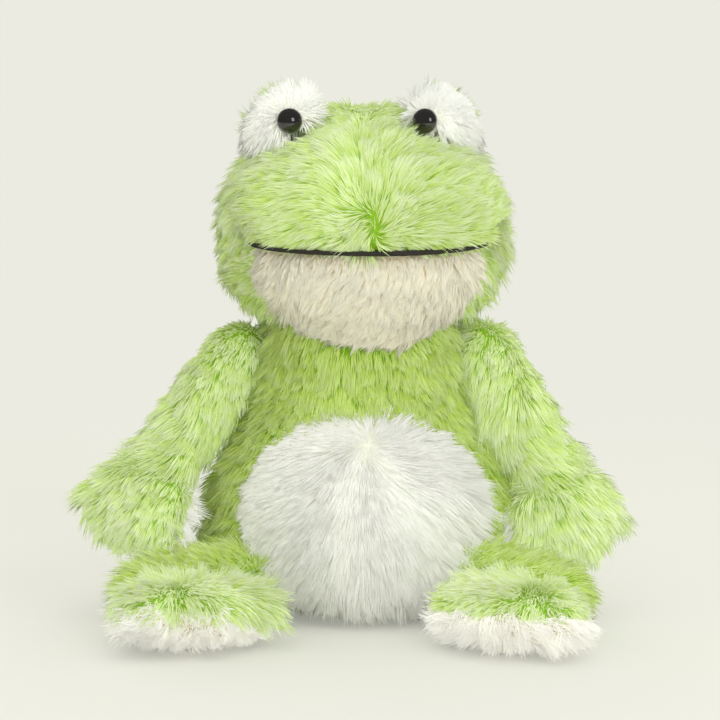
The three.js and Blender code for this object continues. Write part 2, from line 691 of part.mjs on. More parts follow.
const headGroup = jointGroup(frog, neckPivot);
buildHead(headGroup);
buildMound(headGroup, -1, "right", RIGHT_EYE_FACING);
buildMound(headGroup, 1, "left", LEFT_EYE_FACING);

for (const side of ["right", "left"]) {
  const arm = arms[side];
  const armGroup = jointGroup(frog, arm.start);
  const armNames = ["arm_front_panel_", "arm_back_panel_", "arm_filling_"].map((n) => n + side);
  buildLimb(armGroup, arm, armNames, squaredTo(arm.direction, AHEAD));
  const handNames = ["hand_top_", "hand_palm_", "hand_filling_"].map((n) => n + side);
  buildPad(jointGroup(armGroup, arm.end), hands[side], handNames);

  const leg = legs[side];
  const legGroup = jointGroup(frog, leg.start);
  const legNames = ["leg_top_panel_", "leg_bottom_panel_", "leg_filling_"].map((n) => n + side);
  buildLimb(legGroup, leg, legNames, squaredTo(leg.direction, UP));
  const footNames = ["foot_top_", "foot_sole_", "foot_filling_"].map((n) => n + side);
  buildPad(jointGroup(legGroup, leg.end), feet[side], footNames);
}

export default frog;
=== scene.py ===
# %% [markdown]
# # A seated plush frog
# The toy is sewn from panels of long-pile plush, stuffed with fibre and weighted with a bag of
# grain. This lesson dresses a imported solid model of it: each panel becomes a thin skin over
# a stuffed form, and on every skin grows real pile, strand by strand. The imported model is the
# fixed frame. Everything made here rides on one of its bodies, so that the head and limbs
# still turn on their joints.

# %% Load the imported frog
import json
import math
import time
from functools import partial

import bmesh
import bpy
import numpy as np
from mathutils import Matrix, Vector, noise
from mathutils.bvhtree import BVHTree
from mathutils.kdtree import KDTree


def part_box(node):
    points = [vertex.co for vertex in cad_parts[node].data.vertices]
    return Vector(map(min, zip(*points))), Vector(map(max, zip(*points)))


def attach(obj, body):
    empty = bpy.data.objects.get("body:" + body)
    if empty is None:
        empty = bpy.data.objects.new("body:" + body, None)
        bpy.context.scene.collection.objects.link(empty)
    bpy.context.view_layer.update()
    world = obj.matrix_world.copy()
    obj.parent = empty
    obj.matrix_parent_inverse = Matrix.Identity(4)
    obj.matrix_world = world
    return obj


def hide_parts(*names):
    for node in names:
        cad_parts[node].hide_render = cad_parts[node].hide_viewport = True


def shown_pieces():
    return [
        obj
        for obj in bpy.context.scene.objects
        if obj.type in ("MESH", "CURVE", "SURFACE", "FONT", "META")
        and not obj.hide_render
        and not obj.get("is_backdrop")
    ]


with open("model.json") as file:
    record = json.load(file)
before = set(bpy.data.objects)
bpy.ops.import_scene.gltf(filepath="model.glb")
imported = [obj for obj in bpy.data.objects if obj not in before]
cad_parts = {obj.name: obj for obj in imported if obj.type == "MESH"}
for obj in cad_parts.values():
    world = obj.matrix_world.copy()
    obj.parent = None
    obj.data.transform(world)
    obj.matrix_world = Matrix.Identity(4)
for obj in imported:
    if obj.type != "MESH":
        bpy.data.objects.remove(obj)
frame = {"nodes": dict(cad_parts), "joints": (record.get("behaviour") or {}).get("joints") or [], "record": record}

MM = 0.001
started = time.time()
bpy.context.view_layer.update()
bodies = frame["record"]["behaviour"]["bodies"]
joints = {j["name"]: j for j in frame["joints"]}
scene = bpy.context.scene
scene.view_settings.view_transform = "Standard"
print("bodies:", ", ".join(bodies))

# %% [markdown]
# ## Camera
# The photograph was taken from the front with a long lens, a little above the toy's belly. A
# far camera with a long lens keeps the near feet from looking too large. Its distance and tilt
# came from laying the solids' outline over the picture.

# %% Place the camera
CAMERA_TILT = math.radians(8.5)
CAMERA_DISTANCE = 1.9
LENS = 199.6
SENSOR = 36
AIM_HEIGHT, AIM_SIDE = 118.5, -0.5  # in mm, measured from the middle of the toy's base


def object_from(data, name):
    """A new object in the scene that holds a mesh, a camera or a lamp."""
    made = bpy.data.objects.new(name, data)
    scene.collection.objects.link(made)
    return made


def placed(name, data, place, direction):
    """A camera or a lamp that stands at a place and looks in a direction."""
    made = object_from(data, name)
    made.location = place
    made.rotation_mode = "QUATERNION"
    made.rotation_quaternion = direction.to_track_quat("-Z", "Y")
    return made


look = Vector((0, math.cos(CAMERA_TILT), -math.sin(CAMERA_TILT)))
camera_up = Vector((0, math.sin(CAMERA_TILT), math.cos(CAMERA_TILT)))
aim = camera_up * AIM_HEIGHT * MM + Vector((AIM_SIDE * MM, 0, 0))
camera_data = bpy.data.cameras.new("camera")
camera_data.lens = LENS
camera_data.sensor_width = SENSOR
camera = placed("camera", camera_data, aim - look * CAMERA_DISTANCE, look)
scene.camera = camera
print("camera at", tuple(round(v, 3) for v in camera.location))

# %% [markdown]
# ## Studio
# The toy sits on a seamless pale sheet. The floor is a wide disc. Near the toy it is an ordinary
# surface, so it keeps the soft shadow. Further out the camera sees a plain colour there, the
# same one that the world shows, and no horizon appears from any side. The light is high and
# soft, with one window-like lamp that gives the eyes their highlight.

# %% Build the floor, the world and the lamps
BACKGROUND = (0.831, 0.831, 0.752, 1)
WORLD_LEVEL = 0.72
MIRRORED_LEVEL = 0.25  # glossy surfaces see a darker room, so the eyes stay black
FLOOR_RADIUS = 5.0


def colour(r, g, b):
    """An sRGB colour in 0 to 255 as the linear numbers that shaders work with."""
    shares = [c / 255 for c in (r, g, b)]
    linear = [s / 12.92 if s < 0.04 else ((s + 0.055) / 1.055) ** 2.4 for s in shares]
    return (*linear, 1.0)


class Wiring:
    """Adds nodes to one tree. An input is linked to an output socket or set to a value."""

    def __init__(self, tree):
        self.tree = tree

    def feed(self, made, inputs):
        for key, value in inputs.items():
            if isinstance(value, bpy.types.NodeSocket):
                self.tree.links.new(value, made.inputs[key])
            else:
                made.inputs[key].default_value = value
        return made

    def node(self, kind, inputs=None, **settings):
        made = self.tree.nodes.new(kind)
        for key, value in settings.items():
            setattr(made, key, value)
        return self.feed(made, inputs or {})

    def math(self, operation, *values):
        made = self.node("ShaderNodeMath", dict(enumerate(values)), operation=operation)
        return made.outputs[0]

    def vector(self, operation, *values, scale=None):
        inputs = dict(enumerate(values))
        if scale is not None:
            inputs["Scale"] = scale
        made = self.node("ShaderNodeVectorMath", inputs, operation=operation)
        return made.outputs["Value" if operation in ("LENGTH", "DOT_PRODUCT") else "Vector"]

    def mixed(self, share, first, second):
        inputs = {"Factor": share, "A": first, "B": second}
        return self.node("ShaderNodeMix", inputs, data_type="RGBA").outputs["Result"]

    def blended(self, share, first, second):
        inputs = {"Fac": share, 1: first, 2: second}
        return self.node("ShaderNodeMixShader", inputs).outputs[0]


def new_material(name, inputs):
    """A material with one Principled shader, as the material, its wiring and that shader."""
    material = bpy.data.materials.new(name)
    material.use_nodes = True
    wire = Wiring(material.node_tree)
    return material, wire, wire.feed(material.node_tree.nodes["Principled BSDF"], inputs)


def mesh_from(shape, name):
    """A new mesh with what a working shape holds. The shape is used up."""
    mesh = bpy.data.meshes.new(name)
    shape.to_mesh(mesh)
    shape.free()
    return mesh


shape = bmesh.new()
bmesh.ops.create_circle(shape, cap_ends=True, segments=96, radius=FLOOR_RADIUS)
floor = object_from(mesh_from(shape, "floor"), "floor")
floor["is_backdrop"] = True
floor_material, wire, floor_shader = new_material("pale_floor", {
    "Base Color": colour(228, 228, 218), "Roughness": 0.85, "Specular IOR Level": 0.1})
from_toy = wire.vector("LENGTH", wire.node("ShaderNodeTexCoord").outputs["Object"])
far_away = wire.node("ShaderNodeMapRange", {
    "Value": from_toy, "From Min": 0.22, "From Max": 0.75, "To Min": 0.3,
}, interpolation_type="SMOOTHSTEP")
by_camera = wire.node("ShaderNodeLightPath").outputs["Is Camera Ray"]
plain = wire.node("ShaderNodeEmission", {"Color": BACKGROUND})
plain_share = wire.math("MULTIPLY", far_away.outputs["Result"], by_camera)
surface = wire.blended(plain_share, floor_shader.outputs["BSDF"], plain.outputs["Emission"])
wire.feed(wire.tree.nodes["Material Output"], {"Surface": surface})
floor.data.materials.append(floor_material)

world = bpy.data.worlds.new("studio")
scene.world = world
world.use_nodes = True
wire = Wiring(world.node_tree)
light_seen = wire.feed(wire.tree.nodes["Background"], {
    "Color": (1.0, 0.995, 0.97, 1), "Strength": WORLD_LEVEL})
mirror_seen = wire.node("ShaderNodeBackground", {"Strength": MIRRORED_LEVEL})
backdrop = wire.node("ShaderNodeBackground", {"Color": BACKGROUND})
ray = wire.node("ShaderNodeLightPath").outputs
room_seen = wire.blended(ray["Is Glossy Ray"], light_seen.outputs[0], mirror_seen.outputs[0])
all_seen = wire.blended(ray["Is Camera Ray"], room_seen, backdrop.outputs[0])
wire.feed(wire.tree.nodes["World Output"], {"Surface": all_seen})


def lamp(name, place, target, width, height, power, tint=(1, 1, 1), mirrored=False):
    """A rectangular soft lamp that points at a target. Only some show in glossy surfaces."""
    data = bpy.data.lights.new(name, "AREA")
    data.shape = "RECTANGLE"
    data.size = width
    data.size_y = height
    data.energy = power
    data.color = tint
    lit = placed(name, data, place, Vector(target) - Vector(place))
    lit.visible_glossy = mirrored


lamp("overhead", (0.2, -0.4, 1.7), (0, 0, 0.1), 1.6, 1.4, 10.0)
lamp("front", (0.2, -2.2, 0.5), (0, 0, 0.12), 2.0, 1.3, 17.5)
lamp("back", (-0.3, 2.1, 0.9), (0, 0, 0.12), 1.6, 1.2, 13.0)
lamp("window", (0.95, -1.6, 0.95), (0, 0, 0.15), 0.62, 0.78, 5.2, (0.97, 0.985, 1.0), True)
print("floor, world and four lamps are set")

# %% [markdown]
# ## Soft forms from the sewn solids
# Each stuffed body starts as a copy of its solid nodes. A voxel remesh welds the copies into
# one closed skin with even faces, smoothing rounds off the facets, and moving every point
# inwards makes room for the pile, which stands on top of the cloth. A second remesh clears up
# the places where that fold over. The frame's own meshes are never touched.

# %% Make soft forms
PILE_ROOM = 4.8 * MM  # the cloth lies this far inside the solid, under the pile
JOINT_REACH = 15 * MM  # closer than this to another body, the room shrinks
ROOM_AT_JOINT = 0.22  # the share of the room that is left where two bodies touch


def shape_of(meshes):
    """A working shape with copies of some meshes."""
    shape = bmesh.new()
    for mesh in meshes:
        shape.from_mesh(mesh)
    return shape


def node_meshes(names):
    return [frame["nodes"][name].data for name in names]


def welded_copy(names, label):
    """A new object with the merged meshes of some frame nodes."""
    shape = shape_of(node_meshes(names))
    bmesh.ops.remove_doubles(shape, verts=shape.verts, dist=0.01 * MM)
    return object_from(mesh_from(shape, label), label)


def baked_mesh(thing):
    """The object's mesh with its modifiers applied. The object itself is removed."""
    graph = bpy.context.evaluated_depsgraph_get()
    mesh = bpy.data.meshes.new_from_object(thing.evaluated_get(graph), depsgraph=graph)
    bpy.data.objects.remove(thing)
    return mesh


def remeshed(thing, voxel, rounds):
    """The object's mesh after a voxel remesh and some rounds of smoothing."""
    weld = thing.modifiers.new("weld", "REMESH")
    weld.mode = "VOXEL"
    weld.voxel_size = voxel
    soften = thing.modifiers.new("soften", "SMOOTH")
    soften.factor = 0.5
    soften.iterations = rounds
    return baked_mesh(thing)


def vectors_of(items, key):
    """One vector of each item of a mesh, as rows of three numbers."""
    values = np.zeros(len(items) * 3)
    items.foreach_get(key, values)
    return values.reshape(-1, 3)


def length_of(vectors):
    return np.linalg.norm(vectors, axis=1, keepdims=True)


def points_of(mesh):
    return vectors_of(mesh.vertices, "co")


def normals_of(mesh):
    return vectors_of(mesh.vertex_normals, "vector")


def set_points(mesh, places):
    mesh.vertices.foreach_set("co", np.asarray(places, float).ravel())
    mesh.update()


def keep_largest(mesh):
    """Removes every loose part of the mesh except the one with most points."""
    shape = shape_of([mesh])
    shape.verts.ensure_lookup_table()
    group = np.full(len(shape.verts), -1)
    sizes = []
    for vertex in shape.verts:
        if group[vertex.index] >= 0:
            continue
        stack, count = [vertex], 0
        group[vertex.index] = len(sizes)
        while stack:
            current = stack.pop()
            count += 1
            for edge in current.link_edges:
                other = edge.other_vert(current)
                if group[other.index] < 0:
                    group[other.index] = len(sizes)
                    stack.append(other)
        sizes.append(count)
    if len(sizes) > 1:
        keep = int(np.argmax(sizes))
        loose = [v for v in shape.verts if group[v.index] != keep]
        bmesh.ops.delete(shape, geom=loose, context="VERTS")
        shape.to_mesh(mesh)
    shape.free()


def tree_of(names):
    """A search tree over the faces of some frame nodes."""
    shape = shape_of(node_meshes(names))
    found = BVHTree.FromBMesh(shape)
    shape.free()
    return found


body_trees = {body: tree_of(names) for body, names in bodies.items()}


def joint_distance(places, body):
    """How far each place is from the nearest other body, up to JOINT_REACH."""
    gaps = np.full(len(places), JOINT_REACH)
    for other, found in body_trees.items():
        if other == body:
            continue
        for i, place in enumerate(places):
            near = found.find_nearest(Vector(place), float(gaps[i]))
            if near[0] is not None:
                gaps[i] = min(gaps[i], near[3])
    return gaps


def soft_form(names, label, room, voxel=3.0 * MM, rounds=6, body=None):
    """One closed, rounded form around some frame nodes, moved in to leave room for the pile."""
    mesh = remeshed(welded_copy(names, label), voxel, rounds)
    places = points_of(mesh)
    if body is not None:
        open_air = joint_distance(places, body) / JOINT_REACH
        room = (room * (ROOM_AT_JOINT + (1 - ROOM_AT_JOINT) * open_air**1.3))[:, None]
    set_points(mesh, places - normals_of(mesh) * room)
    mesh = remeshed(object_from(mesh, label), voxel, rounds)
    keep_largest(mesh)
    mesh.name = label
    return mesh


SIDES = ("right", "left")
LIMBS = ("arm", "hand", "leg", "foot")
stuffed = {"torso": ("torso", bodies["torso"])}
stuffed["head"] = ("head", [n for n in bodies["head"] if n.startswith(("head_", "jaw", "mouth"))])
for side in SIDES:
    mound = [n for n in bodies["head"] if n.startswith("eye_mound") and n.endswith(side)]
    stuffed[f"mound_{side}"] = ("head", mound)
    for limb in LIMBS:
        stuffed[f"{limb}_{side}"] = (f"{limb}_{side}", bodies[f"{limb}_{side}"])

forms = {}
for label, (body, names) in stuffed.items():
    small = label not in ("torso", "head")
    voxel = 2.2 * MM if small else 3.0 * MM
    room = 4.0 * MM if label.startswith("mound") else PILE_ROOM
    forms[label] = soft_form(names, label, room, voxel, 4 if small else 6, body)
    print(f"{label}: {len(forms[label].vertices)} points")

# %% [markdown]
# ## Which panel is where
# A panel of the sewn skin is the part of the form that lies nearest to that panel's solid node.
# Points where two panels meet are the seam. On a stuffed toy the stitches hold the seam in
# while the fibre pushes the cloth out between the seams.

# %% Find the panels and seams
PANELS = {
    "torso": ["seat_panel", "belly_patch", "torso_front_panel", "torso_back_panel"],
    "head": ["head_right_panel", "head_left_panel", "jaw_panel"],
}
for side in SIDES:
    PANELS[f"mound_{side}"] = [f"eye_mound_front_{side}", f"eye_mound_back_{side}"]
    PANELS[f"arm_{side}"] = [f"arm_front_panel_{side}", f"arm_back_panel_{side}"]
    PANELS[f"hand_{side}"] = [f"hand_top_{side}", f"hand_palm_{side}"]
    PANELS[f"leg_{side}"] = [f"leg_top_panel_{side}", f"leg_bottom_panel_{side}"]
    PANELS[f"foot_{side}"] = [f"foot_top_{side}", f"foot_sole_{side}"]

panel_trees = {n: tree_of([n]) for names in PANELS.values() for n in names}


def nearest_panels(places, names):
    """For each place, the number of the nearest panel in the list."""
    gaps = np.array([[panel_trees[n].find_nearest(Vector(p))[3] for n in names] for p in places])
    return gaps.argmin(1)


def seam_points(mesh, face_panel):
    """True for each point of the mesh where faces of different panels meet."""
    first = np.full(len(mesh.vertices), -1)
    seam = np.zeros(len(mesh.vertices), bool)
    for face, panel in zip(mesh.polygons, face_panel):
        for v in face.vertices:
            if first[v] < 0:
                first[v] = panel
            elif first[v] != panel:
                seam[v] = True
    return seam


face_panels = {label: nearest_panels(vectors_of(mesh.polygons, "center"), PANELS[label])
               for label, mesh in forms.items()}
seams = {label: seam_points(mesh, face_panels[label]) for label, mesh in forms.items()}
print("seam points:", {k: int(s.sum()) for k, s in seams.items()})

# %% [markdown]
# ## Stuffing pressure
# Fibre pushes the cloth outwards. Blender's Cloth does the same with pressure: the seam points
# are pinned, gravity is off, and twenty frames are enough for the panels to fill. The move is
# capped, so the form stays inside its solid. Afterwards the seams are drawn in a little.

# %% Fill the forms
SWELL_CAP = 2.2 * MM
SEAM_DEPTH = 1.4 * MM
FILLING_FRAMES = 20
CLOTH_SETTINGS = dict(
    quality=4, mass=0.2, use_pressure=True, uniform_pressure_force=4.0,
    tension_stiffness=12, compression_stiffness=12, bending_stiffness=0.6,
)


def filled(mesh, seam, label):
    """The mesh after the cloth has been blown up against its pinned seams."""
    thing = object_from(mesh.copy(), label + "_filling_up")
    pins = thing.vertex_groups.new(name="seams")
    pins.add([int(i) for i in np.nonzero(seam)[0]], 1.0, "REPLACE")
    cloth = thing.modifiers.new("cloth", "CLOTH")
    for key, value in CLOTH_SETTINGS.items():
        setattr(cloth.settings, key, value)
    cloth.settings.vertex_group_mass = pins.name
    cloth.settings.effector_weights.gravity = 0.0
    cloth.collision_settings.use_collision = False
    cloth.point_cache.frame_start = 1
    cloth.point_cache.frame_end = FILLING_FRAMES
    for number in range(1, FILLING_FRAMES + 1):
        scene.frame_set(number)
    after = baked_mesh(thing)
    scene.frame_set(1)
    before = points_of(mesh)
    move = points_of(after) - before
    reach = length_of(move)
    move *= np.minimum(1, SWELL_CAP / np.maximum(reach, 1e-9))
    set_points(mesh, before + move)
    return float(reach.max())


def draw_in(mesh, seam):
    """Moves the seam points inwards, and their neighbours a little."""
    pull = seam.astype(float)
    edges = np.array([tuple(e.vertices) for e in mesh.edges])
    for share in (0.45, 0.2):  # of the first and the second ring of neighbours
        near = np.zeros(len(pull))
        np.maximum.at(near, edges[:, 0], pull[edges[:, 1]])
        np.maximum.at(near, edges[:, 1], pull[edges[:, 0]])
        pull = np.maximum(pull, near * share)
    set_points(mesh, points_of(mesh) - normals_of(mesh) * (pull * SEAM_DEPTH)[:, None])


for label, mesh in forms.items():
    reach = filled(mesh, seams[label], label)
    print(f"{label}: the cloth moved up to {reach / MM:.1f} mm before the cap")
    draw_in(mesh, seams[label])
print(f"forms are ready after {time.time() - started:.0f} s")

# %% [markdown]
# ## Where pile can grow, and which way it lies
# Pile has a nap: it leans one way, and the way changes from panel to panel. The lean is kept on
# the cloth as a vector at every point. On the face the pile opens out from the nose and parts
# along the middle seam. On the belly and the feet it opens out from a swirl, from the arms it
# runs on into the hands, and elsewhere it runs down or outwards. Cloth that lies against
# another body gets none. Places given as three plain numbers are in millimetres.

# %% Comb the pile
FLOW_SEED = 5  # without a seed, Blender's noise vectors change with the time of day
noise.seed_set(FLOW_SEED)


def flow(places, scale, seed):
    """Slow, smooth random vectors over the surface, each about as long as 1."""
    shift = Vector((seed * 3.7, seed * 1.3, seed * 7.1))
    return np.array([noise.noise_vector(Vector(p) / scale + shift) for p in places])


def ramp(values, start, span):
    """0 up to the start, then rising to 1 over the span."""
    return np.clip((values - start) / span, 0, 1)


def distance(places, centre):
    return np.linalg.norm(places - np.array(centre), axis=1)


def middle_of(name):
    return sum(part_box(name), Vector()) / 2


def rows(*parts):
    """One vector for each place from its three parts, of which some may be plain numbers."""
    return np.stack(np.broadcast_arrays(*parts), 1)


def unit(vectors):
    return vectors / np.maximum(np.linalg.norm(vectors, axis=-1, keepdims=True), 1e-9)


def fan(places, centre, heart, normals):
    """Vectors away from a centre. Close to it they also turn round it, as a crown of hair does."""
    away = places - np.array(centre)
    reach = length_of(away)
    turning = np.cross(normals, unit(away)) * 1.1 * np.exp(-reach / heart)
    return (unit(away) + turning) * np.clip(reach / heart, 0.25, 1)


def one_way(places, direction):
    return np.tile(np.array(direction, float), (len(places), 1))


def comb_torso(places, normals):
    down = one_way(places, (0, -0.1, -1))
    down[:, 0] += places[:, 0] / (60 * MM) * 0.35
    return down


BELLY_SWIRL = Vector((2, -58, 88)) * MM


def comb_belly(places, normals):
    return fan(places, BELLY_SWIRL, 12 * MM, normals) + one_way(places, (0, 0, -0.2))


def comb_swirl(centre, droop):
    """Pile that opens out from one place, where it stands up."""
    return lambda places, normals: fan(places, centre, 7 * MM, normals) + np.array([0, 0, -droop])


def tangent(vectors, normals):
    """The part of each vector that lies along the cloth."""
    return vectors - normals * (vectors * normals).sum(1, keepdims=True)


COVER_REACH = 9 * MM  # how far in front of the cloth another body is looked for
COVER_CLOSE = 3.5 * MM  # up to here it leaves no pile
COVER_FADE = 5.5 * MM  # and over this much more the pile comes back


def covered(places, normals, body):
    """How far each place is from being touched by another body: 0 covered, 1 free."""
    free = np.ones(len(places))
    for other, found in body_trees.items():
        if other == body:
            continue
        for i, (p, n) in enumerate(zip(places, normals)):
            hit = found.ray_cast(Vector(p), Vector(n), COVER_REACH)
            if hit[0] is not None:
                free[i] = min(free[i], max(0.0, (hit[3] - COVER_CLOSE) / COVER_FADE))
    return free


print("the belly's swirl in mm:", [round(v / MM) for v in BELLY_SWIRL])

# %% [markdown]
# ## The face
# The muzzle's pile rises from the nose and falls a little over it. It is short round the lips,
# the eyes and the crown, and longer at the cheeks. The felt strip stays free of pile.

# %% Comb the face
LIPS_HEIGHT = middle_of("mouth_strip").z
LIPS_HALF = 59 * MM  # half the width of the mouth
LIPS_MIDDLE = 3.5  # in mm, the mouth sits a little towards the toy's left


def off_the_lips(places):
    """No pile within a few millimetres of the felt strip."""
    x, y, z = places.T
    by_strip = (np.abs(x) < LIPS_HALF) & (y < -30 * MM)
    gap = np.where(z > LIPS_HEIGHT, z - LIPS_HEIGHT - 1.4 * MM, LIPS_HEIGHT - z - 1.6 * MM)
    return np.where(by_strip, np.clip(gap / (1.2 * MM), 0, 1), 1.0)


JAW_SEAM = -37 * MM  # how far forward the muzzle and the jaw are sewn together


def short_at_the_lips(places):
    """Shorter pile beside the lips, but a fuller tuft over their middle."""
    x, y, z = places.T
    near = 1 - ramp(np.abs(z - LIPS_HEIGHT), 0, 10 * MM)
    front = ramp(-y, 30 * MM, 12 * MM)
    overhang = np.exp(-(((x - 1 * MM) / (8 * MM)) ** 2)) * (z > LIPS_HEIGHT)
    return 1 - (0.5 - 0.7 * overhang) * near * front


def short_round_the_face(places):
    """The green pile is short above the lips and along the seam with the jaw."""
    x, y, z = places.T
    below = np.clip((LIPS_HEIGHT + 3 * MM - z) / (6 * MM), 0, 1)
    seam = 1 - ramp(np.abs(y - JAW_SEAM), 0, 16 * MM)
    left = ramp(x, 0, 20 * MM)
    longer = 1 + 0.12 * ramp(x, 40 * MM, 20 * MM)
    crown = 1 - 0.42 * ramp(z, 220 * MM, 12 * MM)
    for side in SIDES:
        from_eye = distance(places, middle_of(f"eye_{side}"))
        crown = crown * np.clip((from_eye - 4 * MM) / (16 * MM), 0.35, 1)
    return short_at_the_lips(places) * (1 - (0.65 + 0.25 * left) * below * seam) * longer * crown


NOSE_TIP = np.array([1, -84, 186]) * MM  # the face's pile opens out from here
NOSE_GLOW = 9 * MM  # and round it the strands take paler tones


def comb_head(places, normals):
    """Up from the nose, down over the nose, out and back at the cheeks, down at the back."""
    x, y, z = places.T / MM
    side = np.tanh(x / 6)
    front = ramp(-y, 5, 30)[:, None]
    height = ramp(z, 186, 40)
    turn = np.where(x < 2, 106 - 22 * height, 84 - 34 * height) * np.clip((x - 2) / 20, -1, 1)
    turn = np.radians(turn)
    upwards = rows(np.sin(turn), 0, np.cos(turn))
    down = rows(np.clip((x - 2) / 14, -1, 1), 0, -0.9)
    nose = ramp(z, 182, 7)[:, None]
    face = upwards * nose + down * (1 - nose)
    away = (places - NOSE_TIP) / MM
    face = face + np.cross(normals, unit(away)) * 1.5 * np.exp(-length_of(away) / 8)
    by_middle = 2.4 * np.exp(-(((x - 1) / 5) ** 2))
    over_nose = (by_middle * ramp(z, 185, 3) * np.clip((201 - z) / 6, 0, 1))[:, None]
    face = face + over_nose * np.array([-0.35, 0, -1])
    top = ramp(z, 226, 12)[:, None]
    face = face * (1 - top) + rows(side * 0.6, 0.7, 0.1) * top
    cheek = np.clip((LIPS_HEIGHT / MM + 4 - z) / 8, 0, 1) * ramp(np.abs(x), 0, 30)
    cheek = cheek[:, None]
    face = face * (1 - cheek) + rows(np.sign(x) * 0.8, 1.1, -0.2) * cheek
    return face * front + rows(side * 0.2, 0, -1) * (1 - front)


def full_at_the_cheeks(places):
    from_middle = np.abs(places[:, 0] - LIPS_MIDDLE * MM)
    return short_at_the_lips(places) * (1 + 0.4 * ramp(from_middle, 30 * MM, 14 * MM))


def comb_jaw(places, normals):
    x, y, z = places.T / MM
    x = x - LIPS_MIDDLE
    side = ramp(np.abs(x), 36, 14) * np.sign(x)
    fall = np.clip((LIPS_HEIGHT / MM - z) / 14, 0, 1)
    return rows(-0.45 * fall + side * 1.0, 0.6 * np.abs(side), -1 + 0.25 * fall)


print("lips in mm above the floor:", round(LIPS_HEIGHT / MM, 1))

# %% [markdown]
# ## Skins
# The cloth itself is a knitted backing about a millimetre thick. A panel is cut out of the
# form, Solidify gives it that thickness inwards, and the stuffing fills what is left. Little of
# the backing is ever seen, but it closes the gaps between the strands and casts the shadows.

# %% Cut the panels
CLOTH = 1.1 * MM


def cut_panel(mesh, face_panel, number, name):
    """The faces of one panel as a mesh of their own."""
    shape = shape_of([mesh])
    shape.faces.ensure_lookup_table()
    others = [shape.faces[i] for i in np.nonzero(face_panel != number)[0]]
    bmesh.ops.delete(shape, geom=others, context="FACES")
    return mesh_from(shape, name)


def thick_panel(cut, name):
    """The panel with its cloth thickness, closed all round."""
    thing = object_from(cut.copy(), name)
    wall = thing.modifiers.new("cloth thickness", "SOLIDIFY")
    wall.thickness = CLOTH
    wall.offset = -1.0
    wall.use_even_offset = False
    mesh = baked_mesh(thing)
    mesh.name = name
    mesh.shade_smooth()
    return mesh


body_of_form = {label: body for label, (body, names) in stuffed.items()}
cuts = {}
for label, names in PANELS.items():
    for number, name in enumerate(names):
        cuts[name] = (label, cut_panel(forms[label], face_panels[label], number, name))
print("panels:", {n: len(m.polygons) for n, (label, m) in cuts.items()})

# %% [markdown]
# ## The colour of a strand
# A strand of this plush is saturated at its root and pale at its tip, no two strands have quite
# the same tone, and light catches fine streaks along it. The darker green roots are partly the
# plush's own colour and partly painted shade: the pile casts no shadow, so the gaps between the
# locks take their shade from the roots. All strands share one small map: across the map is the
# tone of the strand, up the map is the way from root to tip. The shader reads that map, so the
# colour belongs to the strand and not to a place in space.

# %% Build the strand shader
TONES = 32  # columns in the strand map, one for each tone


def new_group(name, kind, inputs, outputs):
    """A node group with named inputs and outputs, as its wiring, its inputs and its end."""
    group = bpy.data.node_groups.new(name, kind)
    for direction, entries in (("INPUT", inputs), ("OUTPUT", outputs)):
        for title, socket_kind, *value in entries:
            made = group.interface.new_socket(name=title, in_out=direction,
                                              socket_type=socket_kind)
            if value:
                made.default_value = value[0]
    wire = Wiring(group)
    given = wire.node("NodeGroupInput").outputs if inputs else None
    return wire, given, wire.node("NodeGroupOutput")


def build_strand_colour():
    """Root, middle and tip colours along the map, with a tone for each strand and fine streaks."""
    grey = (0.5, 0.5, 0.5, 1)
    inputs = [(name, "NodeSocketColor", grey) for name in ("Root", "Middle", "Tip", "Shade")]
    inputs += [("Tone Spread", "NodeSocketFloat", 0.5), ("Streaks", "NodeSocketFloat", 0.15)]
    outputs = [("Colour", "NodeSocketColor"), ("Height", "NodeSocketFloat")]
    wire, given, result = new_group("strand colour", "ShaderNodeTree", inputs, outputs)

    def rising(value, start, end, top=1.0):
        limits = {"Value": value, "From Min": start, "From Max": end, "To Max": top}
        made = wire.node("ShaderNodeMapRange", limits, interpolation_type="SMOOTHSTEP")
        return made.outputs["Result"]

    strand_map = wire.node("ShaderNodeUVMap", uv_map="OFBake").outputs["UV"]
    parts = wire.node("ShaderNodeSeparateXYZ", {0: strand_map}).outputs
    column = wire.math("FLOOR", wire.math("MULTIPLY", parts["X"], TONES))
    tone = wire.math("DIVIDE", column, TONES - 1)
    # The root colour, partly painted shade for the gaps between locks; the palest tones lift it towards the middle
    # colour.
    root = wire.mixed(rising(tone, 0.55, 1.0, 0.8), given["Root"], given["Middle"])
    to_middle = wire.mixed(rising(parts["Y"], 0.15, 0.7), root, given["Middle"])
    to_tip = wire.mixed(rising(parts["Y"], 0.5, 1.0), to_middle, given["Tip"])
    shade_share = wire.math("MULTIPLY", wire.math("SUBTRACT", 1.0, tone), given["Tone Spread"])
    toned = wire.mixed(shade_share, to_tip, given["Shade"])
    stretched = wire.vector("MULTIPLY", strand_map, (TONES * 5.0, 1.2, 1.0))
    noise_inputs = {"Vector": stretched, "Scale": 1.0, "Detail": 2.0}
    fibres = wire.node("ShaderNodeTexNoise", noise_inputs, noise_dimensions="2D").outputs[0]
    strength = wire.math("MULTIPLY", wire.math("SUBTRACT", fibres, 0.5), given["Streaks"])
    streaked = wire.vector("SCALE", toned, scale=wire.math("ADD", strength, 1.0))
    wire.feed(result, {"Colour": streaked, "Height": fibres})
    return wire.tree


def build_strand_facing():
    """The strand's soft normal, turned back to the face wherever it would point away from it."""
    outputs = [("Normal", "NodeSocketVector")]
    wire, _, result = new_group("strand facing", "ShaderNodeTree", [], outputs)
    geometry = wire.node("ShaderNodeNewGeometry").outputs
    soft, face = geometry["Normal"], geometry["True Normal"]
    push = wire.node("ShaderNodeMapRange", {
        "Value": wire.vector("DOT_PRODUCT", soft, face),
        "From Min": -1.0, "From Max": 0.05, "To Min": 1.45, "To Max": 0.0})
    turned = wire.vector("ADD", soft, wire.vector("SCALE", face, scale=push.outputs["Result"]))
    wire.feed(result, {"Normal": wire.vector("NORMALIZE", turned)})
    return wire.tree


